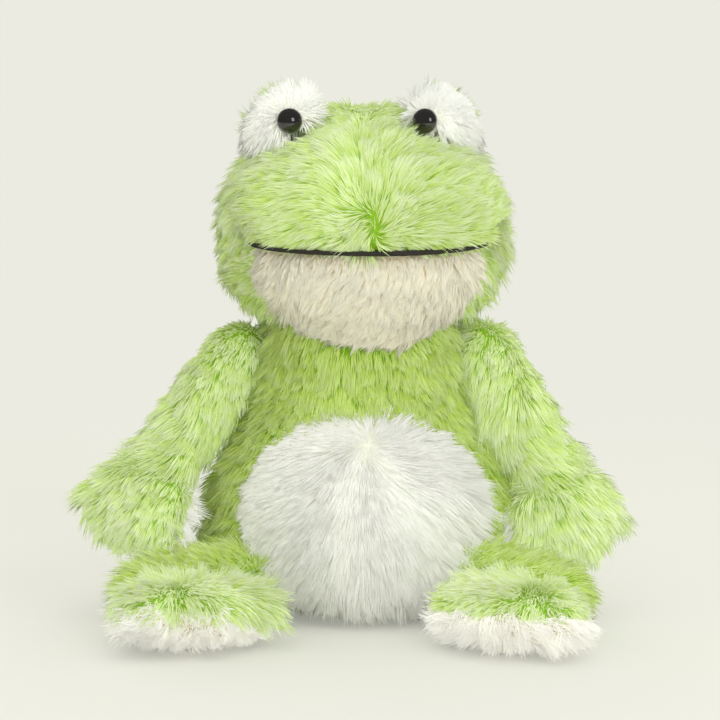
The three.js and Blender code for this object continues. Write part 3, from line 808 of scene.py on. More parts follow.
strand_colour = build_strand_colour()
strand_facing = build_strand_facing()


def pile_material(name, root, middle, tip, shade, spread, sheen):
    """A soft matt fibre finish whose colours run from root to tip."""
    material, wire, shader = new_material(name, {
        "Roughness": 0.85, "Specular IOR Level": 0.0, "Sheen Weight": sheen,
        "Sheen Roughness": 0.45})
    look_up = wire.node("ShaderNodeGroup", {
        "Root": colour(*root), "Middle": colour(*middle), "Tip": colour(*tip),
        "Shade": colour(*shade), "Tone Spread": spread, "Streaks": 0.2,
    }, node_tree=strand_colour).outputs
    facing = wire.node("ShaderNodeGroup", node_tree=strand_facing).outputs["Normal"]
    relief = wire.node("ShaderNodeBump", {
        "Strength": 0.12, "Distance": 0.2 * MM, "Height": look_up["Height"], "Normal": facing})
    wire.feed(shader, {"Base Color": look_up["Colour"], "Normal": relief.outputs["Normal"]})
    return material


# Each finish: root, middle and tip colours, a darker tone that some strands take, how strongly they take it, and
# the sheen. The darker green roots are partly painted shade for the gaps between the locks; the white's roots are
# a little lighter than its tips, as painted light against the shade deep in the pile.
pile_looks = {
    "green": pile_material("green_pile", (140, 190, 30), (211, 231, 150), (232, 242, 210),
                           (180, 211, 84), 0.65, 0.02),
    # The same green plush, darker and more saturated: painted shade for the torso's front, the seat and the legs,
    # which lie under the head, the arms and the hands.
    "painted_shade_green": pile_material("green_pile_with_painted_shade", (130, 182, 16), (200, 224, 112), (219, 236, 172),
                          (168, 202, 60), 0.55, 0.0),
    "white": pile_material("white_pile", (246, 246, 232), (242, 243, 233), (242, 242, 236),
                           (239, 240, 229), 0.4, 0.05),
    "cream": pile_material("cream_pile", (238, 224, 186), (236, 232, 210), (238, 236, 221),
                           (234, 225, 196), 0.4, 0.05),
    # The soles' cream-white, made paler: partly their own colour, partly painted light against the shade near the
    # floor.
    "sole": pile_material("sole_pile_with_painted_light", (246, 243, 222), (245, 244, 234), (246, 246, 240),
                          (243, 240, 222), 0.4, 0.05),
}
print("pile finishes:", ", ".join(m.name for m in pile_looks.values()))

# %% [markdown]
# ## The pile itself
# A Geometry Nodes tree plants the strands. Points are scattered over the panel, and each point
# gets one slim three-sided spindle, closed at both ends. Three vectors shape a strand: the
# cloth's normal at its root, the nap that it bends into, and a pull to the middle of the
# nearest lock, which makes pointed locks instead of an even brush. The tree runs twice on each
# panel: the first layer is gathered into locks, the second is a looser layer of shorter fibres
# round the same locks.

# %% Build the pile tree
PILE_NUMBERS = {
    "Density": 600000.0, "Length": 0.014, "Thickness": 0.0011, "Lean": 0.6,
    "Lock Density": 60000.0, "Lock Pull": 0.5, "Stray": 0.12, "Tuft Stray": 0.36,
    "Floor": 0.3 * MM, "Softness": 0.6, "Fullness": 2.0, "Lift": 0.0,
}
PILE_COUNTS = {"Segments": 2, "Seed": 1, "Lock Seed": 1}


def named(wire, name, kind="FLOAT"):
    """A value that is written on the points."""
    made = wire.node("GeometryNodeInputNamedAttribute", {"Name": name}, data_type=kind)
    return made.outputs["Attribute"]


def stored(wire, geometry, name, value, kind="FLOAT", domain="POINT"):
    inputs = {"Geometry": geometry, "Name": name, "Value": value}
    made = wire.node("GeometryNodeStoreNamedAttribute", inputs, data_type=kind, domain=domain)
    return made.outputs["Geometry"]


def random_value(wire, low, high, seed, number=None):
    """A random number or vector for each point, or one for all points that share a number."""
    kind, first, output = ("FLOAT_VECTOR", 0, 0) if isinstance(low, tuple) else ("FLOAT", 2, 1)
    inputs = {first: low, first + 1: high, "Seed": seed}
    if number is not None:
        inputs["ID"] = number
    return wire.node("FunctionNodeRandomValue", inputs, data_type=kind).outputs[output]


def joined(wire, x=0.0, y=0.0, z=0.0):
    return wire.node("ShaderNodeCombineXYZ", {"X": x, "Y": y, "Z": z}).outputs[0]


def moved(wire, geometry, **change):
    """The geometry with a new Position, or moved by an Offset."""
    made = wire.node("GeometryNodeSetPosition", {"Geometry": geometry, **change})
    return made.outputs[0]


def scattered(wire, cloth, density, seed):
    inputs = {"Mesh": cloth, "Density": density, "Seed": seed}
    return wire.node("GeometryNodeDistributePointsOnFaces", inputs,
                     distribute_method="RANDOM").outputs


def build_pile():
    """Scattered points, a bent and clumped strand on each, its map, its shading and its dye."""
    inputs = [("Cloth", "NodeSocketGeometry")]
    inputs += [(name, "NodeSocketFloat", value) for name, value in PILE_NUMBERS.items()]
    inputs += [(name, "NodeSocketInt", value) for name, value in PILE_COUNTS.items()]
    inputs += [("Finish", "NodeSocketMaterial")]
    wire, given, result = new_group("pile", "GeometryNodeTree", inputs,
                                    [("Pile", "NodeSocketGeometry")])
    wire.tree.is_modifier = True
    plus, times = partial(wire.math, "ADD"), partial(wire.math, "MULTIPLY")
    summed, scaled = partial(wire.vector, "ADD"), partial(wire.vector, "SCALE")
    position = wire.node("GeometryNodeInputPosition").outputs[0]

    # Points all over the cloth. Each remembers the cloth's normal.
    scatter = scattered(wire, given["Cloth"], times(given["Density"], named(wire, "growth")),
                        given["Seed"])
    points = stored(wire, scatter["Points"], "cloth_normal", scatter["Normal"], "FLOAT_VECTOR")

    # The nearest lock: where it is, and its own stray, length and tone.
    locks = scattered(wire, given["Cloth"], given["Lock Density"], given["Lock Seed"])["Points"]
    lock = wire.node("GeometryNodeSampleNearest", {"Geometry": locks},
                     domain="POINT").outputs["Index"]
    lock_place = wire.node("GeometryNodeSampleIndex", data_type="FLOAT_VECTOR", domain="POINT")
    wire.feed(lock_place, {"Geometry": locks, "Value": position, "Index": lock})
    to_lock = wire.vector("SUBTRACT", lock_place.outputs[0], position)

    # Start and end direction, and from them the strand's chord and its bend.
    length = times(given["Length"], named(wire, "length"))
    length = times(length, random_value(wire, 0.86, 1.06, 3))
    length = times(length, random_value(wire, 0.72, 1.16, 9, lock))
    normal = named(wire, "cloth_normal", "FLOAT_VECTOR")
    nap = scaled(named(wire, "nap", "FLOAT_VECTOR"), scale=given["Lean"])
    corners = ((-1, -1, -1), (1, 1, 1))
    stray = scaled(random_value(wire, *corners, 7), scale=given["Stray"])
    astray = scaled(random_value(wire, *corners, 5, lock), scale=given["Tuft Stray"])
    wander = summed(stray, astray)
    start = summed(normal, scaled(nap, scale=0.7))
    start = wire.vector("NORMALIZE", summed(start, wander))
    end = summed(scaled(normal, scale=0.28), scaled(nap, scale=1.6))
    end = wire.vector("NORMALIZE", summed(end, wander))
    half = times(length, 0.5)
    chord = scaled(summed(start, end), scale=half)
    chord = summed(chord, scaled(to_lock, scale=given["Lock Pull"]))
    points = stored(wire, points, "chord", chord, "FLOAT_VECTOR")
    bend = scaled(wire.vector("SUBTRACT", start, end), scale=half)
    points = stored(wire, points, "bend", bend, "FLOAT_VECTOR")
    tone = plus(random_value(wire, -0.32, 0.32, 11), named(wire, "tone"))
    tone = plus(tone, random_value(wire, 0.2, 0.8, 15, lock))
    kept_tone = wire.node("ShaderNodeClamp", {"Value": tone}).outputs[0]
    points = stored(wire, points, "strand_tone", kept_tone)

    # One slim spindle: a cone whose foot is drawn together to a point.
    cone = wire.node("GeometryNodeMeshCone", {
        "Vertices": 3, "Side Segments": given["Segments"], "Radius Top": 0.0,
        "Radius Bottom": 0.5, "Depth": 1.0,
    }, fill_type="NONE").outputs["Mesh"]
    at = wire.node("ShaderNodeSeparateXYZ", {0: position}).outputs
    along = wire.math("POWER", at["Z"], 0.8)
    strand = stored(wire, cone, "along", along)
    around = wire.math("ARCTAN2", at["Y"], at["X"])
    strand = stored(wire, strand, "around", plus(times(around, 0.11), 0.5))
    fuller = times(wire.math("GREATER_THAN", at["Z"], 0.01), given["Fullness"])
    spindle = joined(wire, times(at["X"], fuller), times(at["Y"], fuller), along)
    strand = moved(wire, strand, Position=spindle)
    shaped = wire.node("GeometryNodeMergeByDistance", {"Geometry": strand, "Distance": 0.001})

    # One spindle on every point, along its chord.
    chord = named(wire, "chord", "FLOAT_VECTOR")
    turn = wire.node("FunctionNodeAlignRotationToVector", {"Vector": chord}, axis="Z")
    wide = times(given["Thickness"], random_value(wire, 0.75, 1.25, 13))
    size = joined(wire, wide, wide, wire.vector("LENGTH", chord))
    planted = wire.node("GeometryNodeInstanceOnPoints", {
        "Points": points, "Instance": shaped.outputs[0], "Rotation": turn.outputs[0],
        "Scale": size})
    real = wire.node("GeometryNodeRealizeInstances", {"Geometry": planted.outputs[0]})

    # Bend every strand, and lift what would go through the floor.
    way = named(wire, "along")
    arch = times(way, wire.math("SUBTRACT", 1.0, way))
    bow = scaled(named(wire, "bend", "FLOAT_VECTOR"), scale=arch)
    bent = moved(wire, real.outputs[0], Offset=bow)
    low = wire.node("ShaderNodeSeparateXYZ", {0: position}).outputs
    rest = plus(given["Floor"], times(named(wire, "strand_tone"), 0.0012))
    kept = joined(wire, low["X"], low["Y"], wire.math("MAXIMUM", low["Z"], rest))
    above = moved(wire, bent, Position=kept)

    # The strand's map, and shading normals that are partly the cloth's own.
    column = wire.math("FLOOR", times(named(wire, "strand_tone"), TONES - 0.01))
    across = wire.math("DIVIDE", plus(column, named(wire, "around")), float(TONES))
    mapped = joined(wire, across, plus(times(way, 0.96), 0.02))
    strands = stored(wire, above, "OFBake", mapped, "FLOAT2", "CORNER")
    smooth = wire.node("GeometryNodeSetShadeSmooth", {"Geometry": strands})
    own = wire.node("GeometryNodeInputNormal").outputs["Normal"]
    softer = summed(scaled(own, scale=0.25), scaled(normal, scale=given["Softness"]))
    backwards = wire.node("ShaderNodeSeparateXYZ", {0: normal}).outputs["Y"]
    fade = wire.node("ShaderNodeMapRange", {
        "Value": backwards, "From Min": 0.15, "From Max": 0.7, "To Min": 1.0, "To Max": 0.0})
    lift = times(given["Lift"], fade.outputs["Result"])
    softer = summed(softer, joined(wire, y=times(lift, -0.8), z=lift))
    shaded = wire.node("GeometryNodeSetMeshNormal", mode="FREE", domain="POINT")
    wire.feed(shaded, {"Mesh": smooth.outputs["Geometry"],
                       "Custom Normal": wire.vector("NORMALIZE", softer)})
    final = wire.node("GeometryNodeRealizeInstances", {"Geometry": shaded.outputs["Mesh"]})
    dyed = wire.node("GeometryNodeSetMaterial", {
        "Geometry": final.outputs[0], "Material": given["Finish"]})
    wire.feed(result, {"Pile": dyed.outputs[0]})
    return wire.tree


pile_tree = build_pile()
pile_inputs = {i.name: i.identifier for i in pile_tree.interface.items_tree if i.in_out == "INPUT"}
print("pile inputs:", ", ".join(pile_inputs))

# %% [markdown]
# ## A plan for every panel
# Each panel has a comb, a finish and its own choices; the green with painted shade goes on the
# torso's front, the seat and the legs. Lengths are in millimetres. "dense" and "locks" count
# strands and locks, "lean", "least", "pull", "stray" and "tuft" shape them, "bare", "trim"
# and "rim" say where the pile is missing, short or long, and "soft" and "lift" are about how
# light it looks. The last choice shifts the tones paler: painted light on the arms, hands and
# feet, which the lamps reach less. What a panel doesn't choose is as usual.

# %% Plan the pile of every panel
def comb_leg(places, normals):
    return rows(np.sign(places[:, 0]), -0.25, -0.45)


def long_outside_the_leg(places):
    return 1 + 0.45 * ramp(np.abs(places[:, 0]), 78 * MM, 18 * MM)


def short_on_the_shoulder(places):
    return 1 - 0.55 * ramp(places[:, 2], 102 * MM, 22 * MM)


def fuller_on_the_flanks(places):
    return 1 + 0.7 * ramp(np.abs(places[:, 0]), 46 * MM, 14 * MM)


def full_on_the_left(places):
    """The belly's pile is longest on the toy's left side and shortest on its right."""
    return 1 + 0.3 * np.clip(places[:, 0] / (45 * MM), -1, 1)


def side_plan(side):
    """The panels of one side: its eye mound, arm, hand, leg and foot."""
    is_right = side == "right"
    out_way = -1 if is_right else 1
    wrist = np.array(Vector(joints[f"wrist_{side}"]["pos_m"]))
    shoulder = np.array(Vector(joints[f"shoulder_{side}"]["pos_m"]))
    eye = np.array(middle_of(f"eye_{side}"))
    mound = np.array(middle_of(f"eye_mound_front_{side}"))
    hand, foot = middle_of(f"hand_top_{side}"), middle_of(f"foot_top_{side}")
    foot_swirl = np.array([out_way * 81, -94, 33]) * MM

    def inner_share(places, centre, reach):
        """0 at a limb's outer edge, 1 at its inner edge."""
        return np.clip(0.5 - out_way * (places[:, 0] - centre[0]) / (2 * reach), 0, 1)

    def hand_inner(places):
        return inner_share(places, hand, 26 * MM)

    def foot_inner(places):
        return inner_share(places, foot, 36 * MM)

    def round_the_eye(places):
        return ramp(distance(places, eye), 5.6 * MM, 1.0 * MM)

    def short_by_the_eye(places):
        near = ramp(distance(places, eye), 6 * MM, 10 * MM)
        outer = (places - mound) @ np.array([out_way * 0.75, 0, 0.66])
        below = np.clip((eye[2] + 1 * MM - places[:, 2]) / (6 * MM), 0, 1)
        inner = ramp((mound - places)[:, 0] * out_way, 3 * MM, 8 * MM)
        trimmed = (0.5 + 0.5 * near) * (1 - 0.6 * ramp(outer, 4 * MM, 12 * MM))
        trimmed = trimmed * (1 + 0.45 * inner)
        return trimmed * (1 - below) + 1.15 * below

    def comb_mound_front(places, normals):
        away = places - eye
        below = np.clip((5 * MM - away[:, 2:]) / (8 * MM), 0, 1)
        droop = below * np.array([0, -0.3, -0.6])
        return unit(away) * np.clip((length_of(away) - 4 * MM) / (12 * MM), 0.1, 1) + droop

    def comb_mound_back(places, normals):
        return one_way(places, (out_way * 0.6, -0.3, 0.5))

    def arm_trim(places):
        near = 1 - ramp(distance(places, wrist), 11 * MM, 13 * MM)
        inner = np.clip((shoulder - places)[:, 0] * out_way / (10 * MM) + 1.8, 0, 1)
        inner = inner * (out_way > 0)
        return short_on_the_shoulder(places) * (1 + 0.1 * near + 0.35 * inner)

    def comb_arm(places, normals):
        near = np.clip(1.6 - distance(places, wrist) / (22 * MM), 0, 1)[:, None]
        inner = np.clip((shoulder - places)[:, :1] * out_way / (10 * MM) + 2.2, 0, 1)
        inner = inner * (1 - near) * (out_way > 0)
        return (unit(wrist - shoulder) + near * np.array([out_way * 0.9, 0, -0.1])
                - inner * np.array([out_way * 0.7, 0, 0]) - (0, 0, 0.2))

    def comb_hand(places, normals):
        from_arm = wrist + unit(shoulder - wrist) * 22 * MM
        return unit(places - from_arm) - (0, 0, 0.1)

    def hand_trim(places):
        return 1.1 + (-0.4 if is_right else 0.25) * hand_inner(places)

    def palm_trim(places):
        low = np.clip(((66 if is_right else 60) * MM - places[:, 2]) / (11 * MM), 0.1, 1)
        return (0.25 + 0.8 * hand_inner(places)) * low

    def comb_foot(places, normals):
        behind = ramp(places[:, 1], foot_swirl[1], 12 * MM)[:, None]
        return fan(places, foot_swirl, 7 * MM, normals) * (1 - 0.75 * behind) - (0, 0, 0.06)

    def foot_trim(places):
        return 0.75 + (0.45 if is_right else 0.3) * foot_inner(places)

    def sole_trim(places):
        return 1.08 - (0.6 if is_right else 0.1) * foot_inner(places)

    comb_palm = comb_swirl(hand + Vector((out_way * 8, 24, 0)) * MM, 0.2)
    comb_sole = comb_swirl(foot + Vector((0, 16, 2)) * MM, 0.1)
    # Arms, hands and feet take paler tones as painted light, since the lamps reach them less.
    return [
        (f"eye_mound_front_{side}", comb_mound_front, "white",
         dict(length=12.5, lean=1.0, tuft=0.1, stray=0.07, pull=0.3, locks=0.14, least=0.1,
              bare=round_the_eye, trim=short_by_the_eye, dense=2.4, soft=1.8, lift=0.2)),
        (f"eye_mound_back_{side}", comb_mound_back, "green",
         dict(length=15, lean=0.65, soft=0.5, lift=0.5, dense=2.2, stray=0.14, pull=0.3)),
        (f"arm_front_panel_{side}", comb_arm, "green",
         dict(length=16.5, lean=0.9, trim=arm_trim, soft=0.75, lift=0.5, painted_light=0.12)),
        (f"arm_back_panel_{side}", comb_arm, "green",
         dict(length=16.5, lean=0.9, trim=arm_trim, soft=0.7, lift=0.4)),
        (f"hand_top_{side}", comb_hand, "green",
         dict(length=15 if is_right else 13, lean=0.95, soft=0.65, lift=0.65, painted_light=0.28,
              trim=hand_trim)),
        (f"hand_palm_{side}", comb_palm, "white",
         dict(length=19, lean=1.0, lift=0.6, soft=0.15, trim=palm_trim)),
        # The legs take the green with painted shade.
        (f"leg_top_panel_{side}", comb_leg, "painted_shade_green",
         dict(length=15, lean=0.5, lift=0.4, trim=long_outside_the_leg if is_right else None)),
        (f"leg_bottom_panel_{side}", comb_leg, "painted_shade_green", dict(length=11, dense=0.5)),
        (f"foot_top_{side}", comb_foot, "green",
         dict(length=16, lean=1.0, rim=None if is_right else (0.5, 14 * MM),
              least=0.2, trim=foot_trim, lift=1.2, soft=0.7, painted_light=0.28)),
        (f"foot_sole_{side}", comb_sole, "sole",
         dict(length=14, tuft=0.5, stray=0.2, lift=1.2, soft=0.6, trim=sole_trim)),
    ]


USUAL = dict(lean=0.7, pull=0.5, stray=0.09, tuft=0.28, dense=1.0, locks=0.08, lift=0.0,
             soft=1.1, least=0.45, bare=None, trim=None, rim=None, painted_light=0.0)
FACE = dict(bare=off_the_lips, soft=0.9, lift=0.25, least=0.85, trim=short_round_the_face)
# The torso's front and the seat take the green with painted shade, its back the plain green.
growth_plan = [
    ("torso_front_panel", comb_torso, "painted_shade_green",
     dict(length=14, lean=0.6, rim=(0.65, 9 * MM), trim=fuller_on_the_flanks)),
    ("torso_back_panel", comb_torso, "green", dict(length=15, trim=fuller_on_the_flanks)),
    ("seat_panel", comb_torso, "painted_shade_green", dict(length=9, dense=0.3)),
    ("belly_patch", comb_belly, "white",
     dict(length=17, lean=0.75, soft=2.6, tuft=0.2, stray=0.07, trim=full_on_the_left,
          rim=(0.42, 15 * MM))),
    ("head_right_panel", comb_head, "green", dict(FACE, length=15, lean=0.85)),
    ("head_left_panel", comb_head, "green", dict(FACE, length=16, lean=0.8)),
    ("jaw_panel", comb_jaw, "cream",
     dict(length=10.5, lean=0.8, tuft=0.3, bare=off_the_lips, trim=full_at_the_cheeks,
          locks=0.12, dense=1.4, lift=0.25, soft=1.3)),
]
for side in SIDES:
    growth_plan += side_plan(side)
print(len(growth_plan), "panels are planned")

# %% [markdown]
# ## Grow it
# The panel's nap and numbers are written on the cloth's points, the tree runs once for each
# layer, and its result is kept as a plain mesh.
# Light comes through real fibres, so the pile casts no shadow here: the skins cast them.

# %% Grow the pile on every panel
def written(mesh, name, kind, values):
    layer = mesh.attributes.new(name, kind, "POINT")
    layer.data.foreach_set("vector" if kind == "FLOAT_VECTOR" else "value", np.ravel(values))


KEPT_ATTRIBUTES = {"position", "OFBake", "sharp_face", "material_index", "custom_normal"}


def rim_distance(cloth):
    """How far each point of a panel is from the panel's sewn edge."""
    shape = shape_of([cloth])
    rim = [v.co.copy() for v in shape.verts if v.is_boundary]
    shape.free()
    found = KDTree(len(rim))
    for i, place in enumerate(rim):
        found.insert(place, i)
    found.balance()
    return np.array([found.find(v.co)[2] for v in cloth.vertices])


def combed_cloth(name, comb, seed, choice):
    """A copy of the panel's outer face with the nap, growth, length and tone on its points."""
    label, cut = cuts[name]
    cloth = cut.copy()
    places, normals = points_of(cloth), normals_of(cloth)
    way = tangent(comb(places, normals), normals)
    strength = np.clip(length_of(way), choice["least"], 1)
    way = unit(way) + 0.4 * flow(places, 22 * MM, seed) + 0.28 * flow(places, 9 * MM, seed + 40)
    free = covered(places, normals, body_of_form[label])
    if choice["bare"]:
        free = free * choice["bare"](places)
    lengths = choice["trim"](places) if choice["trim"] else np.ones(len(places))
    lengths = lengths * (1 + 0.2 * flow(places, 15 * MM, seed + 80)[:, 0])
    if choice["rim"]:
        share, width = choice["rim"]
        lengths = lengths * (share + (1 - share) * np.clip(rim_distance(cloth) / width, 0, 1))
    at_nose = np.exp(-distance(places, NOSE_TIP) / NOSE_GLOW)
    # The panel's own shift to paler tones is painted light for parts that the lamps reach less; the rest of the
    # tone varies at random and is paler round the nose.
    tone = choice["painted_light"] + 0.3 * flow(places, 12 * MM, seed + 120)[:, 1] + 1.2 * at_nose
    written(cloth, "nap", "FLOAT_VECTOR", tangent(way, normals) * strength)
    written(cloth, "growth", "FLOAT", free)
    written(cloth, "length", "FLOAT", lengths)
    written(cloth, "tone", "FLOAT", tone)
    return cloth


def grow(cloth, label, inputs):
    """Runs the pile tree on a combed cloth and keeps the result as a plain object."""
    thing = object_from(cloth.copy(), label)
    grower = thing.modifiers.new("pile", "NODES")
    grower.node_group = pile_tree
    for key, value in inputs.items():
        grower[pile_inputs[key]] = value
    mesh = baked_mesh(thing)
    for layer in [a.name for a in mesh.attributes if a.name not in KEPT_ATTRIBUTES]:
        if not layer.startswith("."):
            mesh.attributes.remove(mesh.attributes[layer])
    mesh.name = label
    return object_from(mesh, label)


# Each layer: its name, strands for each square millimetre, share of the length, strand
# thickness in mm, and how much it gathers into locks.
LAYERS = (("locks", 1.0, 1.0, 0.62, 1.0), ("fibres", 1.2, 0.8, 0.58, 0.3))
SEED = 20
SQUARE_METRE = 1e6  # in square millimetres
all_triangles = 0
for number, (name, comb, finish, choice) in enumerate(growth_plan):
    choice = dict(USUAL, **choice)
    seed = SEED + number
    cloth = combed_cloth(name, comb, seed, choice)
    for layer, density, share, thickness, gather in LAYERS:
        piece = grow(cloth, f"{name}_{layer}", {
            "Density": density * choice["dense"] * SQUARE_METRE,
            "Length": choice["length"] * share * MM, "Thickness": thickness * MM,
            "Lean": choice["lean"], "Stray": choice["stray"],
            "Tuft Stray": choice["tuft"] * gather, "Lock Pull": choice["pull"] * gather,
            "Lock Density": choice["locks"] * SQUARE_METRE, "Softness": choice["soft"],
            "Lift": choice["lift"], "Seed": seed * 10 + len(layer), "Lock Seed": seed,
            "Finish": pile_looks[finish]})
        piece.visible_shadow = False
        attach(piece, body_of_form[cuts[name][0]])
        all_triangles += sum(len(f.vertices) - 2 for f in piece.data.polygons)
print(f"pile is grown after {time.time() - started:.0f} s: {all_triangles} triangles")

# %% [markdown]
# ## Cloth and stuffing
# The backing is a fine knit in the colour of the roots. Under it lies the fibre filling, a little
# smaller than the skin, and in the belly a cotton bag holds the grain.

# %% Finish the cloth, the stuffing and the grain bag
def mottled_material(name, first, second, scale, inputs, detail=2.0, relief=0.0, rough=None):
    """Two colours mixed by fine noise. The noise can also raise and roughen the surface."""
    material, wire, shader = new_material(name, inputs)
    at = wire.node("ShaderNodeTexCoord").outputs["Object"]
    grit = wire.node("ShaderNodeTexNoise", {"Vector": at, "Scale": scale, "Detail": detail})
    grit = grit.outputs[0]
    base = wire.mixed(grit, colour(*first), colour(*second))
    wire.feed(shader, {"Base Color": base})
    if relief:
        bump = wire.node("ShaderNodeBump", {
            "Strength": relief, "Distance": 0.3 * MM, "Height": grit})
        wire.feed(shader, {"Normal": bump.outputs["Normal"]})
    if rough:
        polish = wire.node("ShaderNodeMapRange", {
            "Value": grit, "To Min": rough[0], "To Max": rough[1]})
        wire.feed(shader, {"Roughness": polish.outputs[0]})
    return material


def cloth_material(name, base, thread, scale=900, roughness=0.9):
    """Woven or knitted cloth: two colours of thread and a fine relief."""
    inputs = {"Roughness": roughness, "Specular IOR Level": 0.2}
    return mottled_material(name, base, thread, scale, inputs, detail=3.0, relief=0.5)


backings = {
    "green": cloth_material("green_backing", (132, 178, 34), (158, 204, 60)),
    # The same green backing, darker: painted shade, as on its pile.
    "painted_shade_green": cloth_material("green_backing_with_painted_shade", (120, 168, 22), (150, 198, 48)),
    "white": cloth_material("white_backing", (232, 232, 214), (242, 242, 230)),
    "cream": cloth_material("cream_backing", (222, 206, 168), (236, 226, 198)),
    "sole": cloth_material("sole_backing", (200, 188, 146), (226, 216, 182)),
}
for name, comb, finish, choice in growth_plan:
    mesh = thick_panel(cuts[name][1], name + "_cloth")
    mesh.materials.append(backings[finish])
    skin = object_from(mesh, mesh.name)
    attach(skin, body_of_form[cuts[name][0]])
    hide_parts(name)

fibre = cloth_material("fibre_stuffing", (236, 236, 232), (250, 250, 248), 500, 0.95)
cotton = cloth_material("cotton_bag_cloth", (214, 204, 178), (234, 226, 206), 1400, 0.9)
grain = cloth_material("loose_grain", (170, 128, 66), (214, 174, 104), 260, 0.7)
INNER_VOXEL = 3.5 * MM


def inner_piece(names, label, body, finish, room):
    """A hidden soft piece, rounded and moved in so that the skin closes over it."""
    mesh = soft_form(names, label, room, INNER_VOXEL, 4)
    mesh.shade_smooth()
    mesh.materials.append(finish)
    made = object_from(mesh, label)
    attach(made, body)
    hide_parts(*names)


inner_piece(["chest_filling"], "chest_stuffing", "torso", fibre, 2.2 * MM)
inner_piece(["grain_bag_front", "grain_bag_back"], "grain_bag", "torso", cotton,
            2.2 * MM)
inner_piece(["grain_fill"], "grain_heap", "torso", grain, 2.6 * MM)
inner_piece(["head_filling"], "head_stuffing", "head", fibre, 2.2 * MM)
for side in SIDES:
    inner_piece([f"eye_mound_filling_{side}"], f"eye_mound_stuffing_{side}", "head", fibre,
                0.8 * MM)
    for limb in LIMBS:
        inner_piece([f"{limb}_filling_{side}"], f"{limb}_stuffing_{side}", f"{limb}_{side}", fibre,
                    1.6 * MM)
print("cloth and stuffing are in place")

# %% [markdown]
# ## Eyes
# Each eye is one moulded black dome on a shank. The solid already says where it is. The fine
# dome is turned round the way that the eye looks in the photograph, with enough steps for a
# clean highlight. Polished plastic needs a low roughness and a clear coat.

# %% Turn the eyes
eye_black = mottled_material("polished_black", (16, 14, 12), (26, 23, 20), 260, {
    "Specular IOR Level": 0.5, "Coat Weight": 1.0, "Coat Roughness": 0.03}, rough=(0.05, 0.14))


def turned(profile, steps, base, axis, name):
    """A closed shape turned round an axis from (radius, height) pairs."""
    shape = bmesh.new()
    rings = []
    for radius, height in profile:
        if radius == 0:
            rings.append([shape.verts.new((0, 0, height))])
            continue
        angles = [2 * math.pi * i / steps for i in range(steps)]
        rings.append([shape.verts.new((radius * math.cos(a), radius * math.sin(a), height))
                      for a in angles])
    for lower, upper in zip(rings, rings[1:]):
        for i in range(steps):
            k = (i + 1) % steps
            if len(lower) == 1:
                shape.faces.new((lower[0], upper[k], upper[i]))
            elif len(upper) == 1:
                shape.faces.new((lower[i], lower[k], upper[0]))
            else:
                shape.faces.new((lower[i], lower[k], upper[k], upper[i]))
    bmesh.ops.recalc_face_normals(shape, faces=shape.faces)
    mesh = mesh_from(shape, name)
    turn = Vector((0, 0, 1)).rotation_difference(axis).to_matrix().to_4x4()
    mesh.transform(Matrix.Translation(base) @ turn)
    mesh.shade_smooth()
    return mesh


EYE_RADIUS = 6.0 * MM
EYE_DOME = 4.6 * MM
SHANK_RADIUS = 2 * MM
DOME_STEPS = 13
WASHER_SIDE = -0.9 * MM  # the underside of the dome, where the shank begins
EYE_STEPS = 48
EYE_FACING = {"right": (0.15, -0.95, 0.26), "left": (-0.35, -0.9, 0.25)}
for side in SIDES:
    solid = welded_copy([f"eye_{side}"], "eye_solid")
    places = points_of(solid.data)
    bpy.data.objects.remove(solid)
    axis = Vector(EYE_FACING[side]).normalized()
    along = places @ np.array(axis)
    middle = Vector(places.mean(0))
    base = middle + axis * (along.max() - EYE_DOME - middle.dot(axis))
    length = along.max() - along.min() - EYE_DOME
    profile = [(0, -length), (SHANK_RADIUS, -length), (SHANK_RADIUS, WASHER_SIDE)]
    profile += [(5.2 * MM, WASHER_SIDE), (EYE_RADIUS * 0.985, -0.5 * MM)]
    for i in range(DOME_STEPS):
        turn = math.pi / 2 * i / DOME_STEPS
        profile.append((EYE_RADIUS * math.cos(turn), EYE_DOME * math.sin(turn)))
    profile.append((0, EYE_DOME))
    mesh = turned(profile, EYE_STEPS, base, axis, f"eye_dome_{side}")
    mesh.materials.append(eye_black)
    eye = object_from(mesh, mesh.name)
    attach(eye, "head")
    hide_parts(f"eye_{side}")
    print(f"eye_{side} base in mm:", [round(v / MM, 1) for v in base])

washer_white = mottled_material("moulded_washer", (216, 216, 208), (232, 232, 226), 1500,
                                {"Roughness": 0.45})
for side in SIDES:
    washer = frame["nodes"][f"eye_washer_{side}"].data
    washer.materials.clear()
    washer.materials.append(washer_white)

# %% [markdown]
# ## Mouth
# The lips are a thin strip of black felt between the green muzzle and the cream jaw. It follows
# the outline of the solid strip and stands out to the face of the pile, or it would be lost in
# the fur. Felt is a mat of short fibres, so its edge is a little uneven.

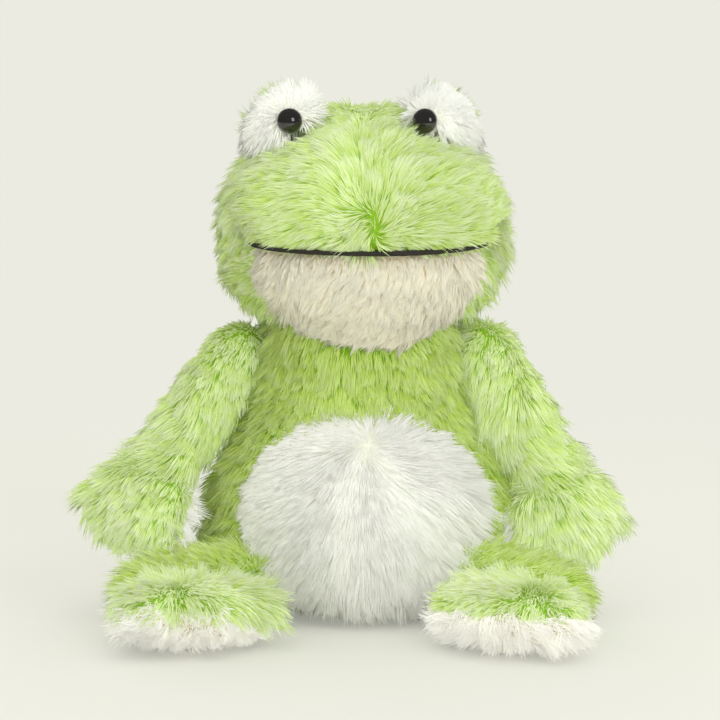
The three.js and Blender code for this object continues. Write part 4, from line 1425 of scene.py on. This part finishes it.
# %% Cut the felt strip
felt = mottled_material("black_felt", (24, 22, 18), (58, 54, 46), 1800, {"Roughness": 0.95},
                        detail=4.0, relief=0.8)
LIPS_CENTRE = Vector((LIPS_MIDDLE * MM, -30 * MM, LIPS_HEIGHT))
LIPS_DEPTH = 8 * MM  # how far the strip reaches back into the head
STRIP_ANGLES = 160
SIDES_OF_STRIP = 6
strip_tree = tree_of(["mouth_strip"])
steps, outline = [], []
for angle in np.linspace(-math.pi / 2, math.pi / 2, STRIP_ANGLES):
    outwards = Vector((math.sin(angle), -math.cos(angle), 0))
    hit = strip_tree.ray_cast(LIPS_CENTRE + outwards * 0.2, -outwards)[0]
    if hit is not None and (hit - LIPS_CENTRE).dot(outwards) > 0:
        steps.append(angle)
        outline.append((hit - LIPS_CENTRE).length)
EVENED = 13  # neighbouring steps whose outline is averaged
padded = np.pad(np.array(outline), EVENED // 2, mode="edge")
soft = np.convolve(padded, np.ones(EVENED) / EVENED, mode="valid")
shape = bmesh.new()
sections = []
for i, (angle, out_to) in enumerate(zip(steps, soft)):
    end = min(1.0, min(i, len(steps) - 1 - i) / 5)  # 0 at both ends of the strip
    wobble = noise.noise(Vector((i * 0.35, 0, 0))) * 0.35 * MM
    corner = min(1.0, min(angle + 1.35, 1.3 - angle) / 0.5)  # less at the mouth's corners
    outer = out_to + (0.2 + 1.6 * max(0, corner)) * MM * end + wobble
    inner = out_to - LIPS_DEPTH
    thick = (0.65 * end + 0.15 + 0.25 * math.exp(-((angle - 0.35) / 0.4) ** 2)) * MM
    drop = wobble * 0.6
    corners = [(inner, thick), (outer - 0.5 * MM, thick), (outer, thick * 0.3),
               (outer, -thick * 0.3), (outer - 0.5 * MM, -thick), (inner, -thick)]
    sections.append([shape.verts.new(LIPS_CENTRE + Vector((
        r * math.sin(angle), -r * math.cos(angle), h + drop))) for r, h in corners])
for a, b in zip(sections, sections[1:]):
    for i in range(SIDES_OF_STRIP):
        k = (i + 1) % SIDES_OF_STRIP
        shape.faces.new((a[i], a[k], b[k], b[i]))
shape.faces.new(sections[0])
shape.faces.new(sections[-1][::-1])
bmesh.ops.recalc_face_normals(shape, faces=shape.faces)
mesh = mesh_from(shape, "felt_lips")
mesh.shade_smooth()
mesh.materials.append(felt)
lips_piece = object_from(mesh, "felt_lips")
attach(lips_piece, "head")
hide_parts("mouth_strip")
print("felt strip:", len(mesh.polygons), "faces")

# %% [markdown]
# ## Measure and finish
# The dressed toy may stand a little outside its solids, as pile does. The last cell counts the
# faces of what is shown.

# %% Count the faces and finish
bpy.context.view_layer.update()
total = sum(len(o.data.polygons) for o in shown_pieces() if o.type == "MESH")
print(f"{total} faces in {len(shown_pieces())} pieces, {time.time() - started:.0f} s")
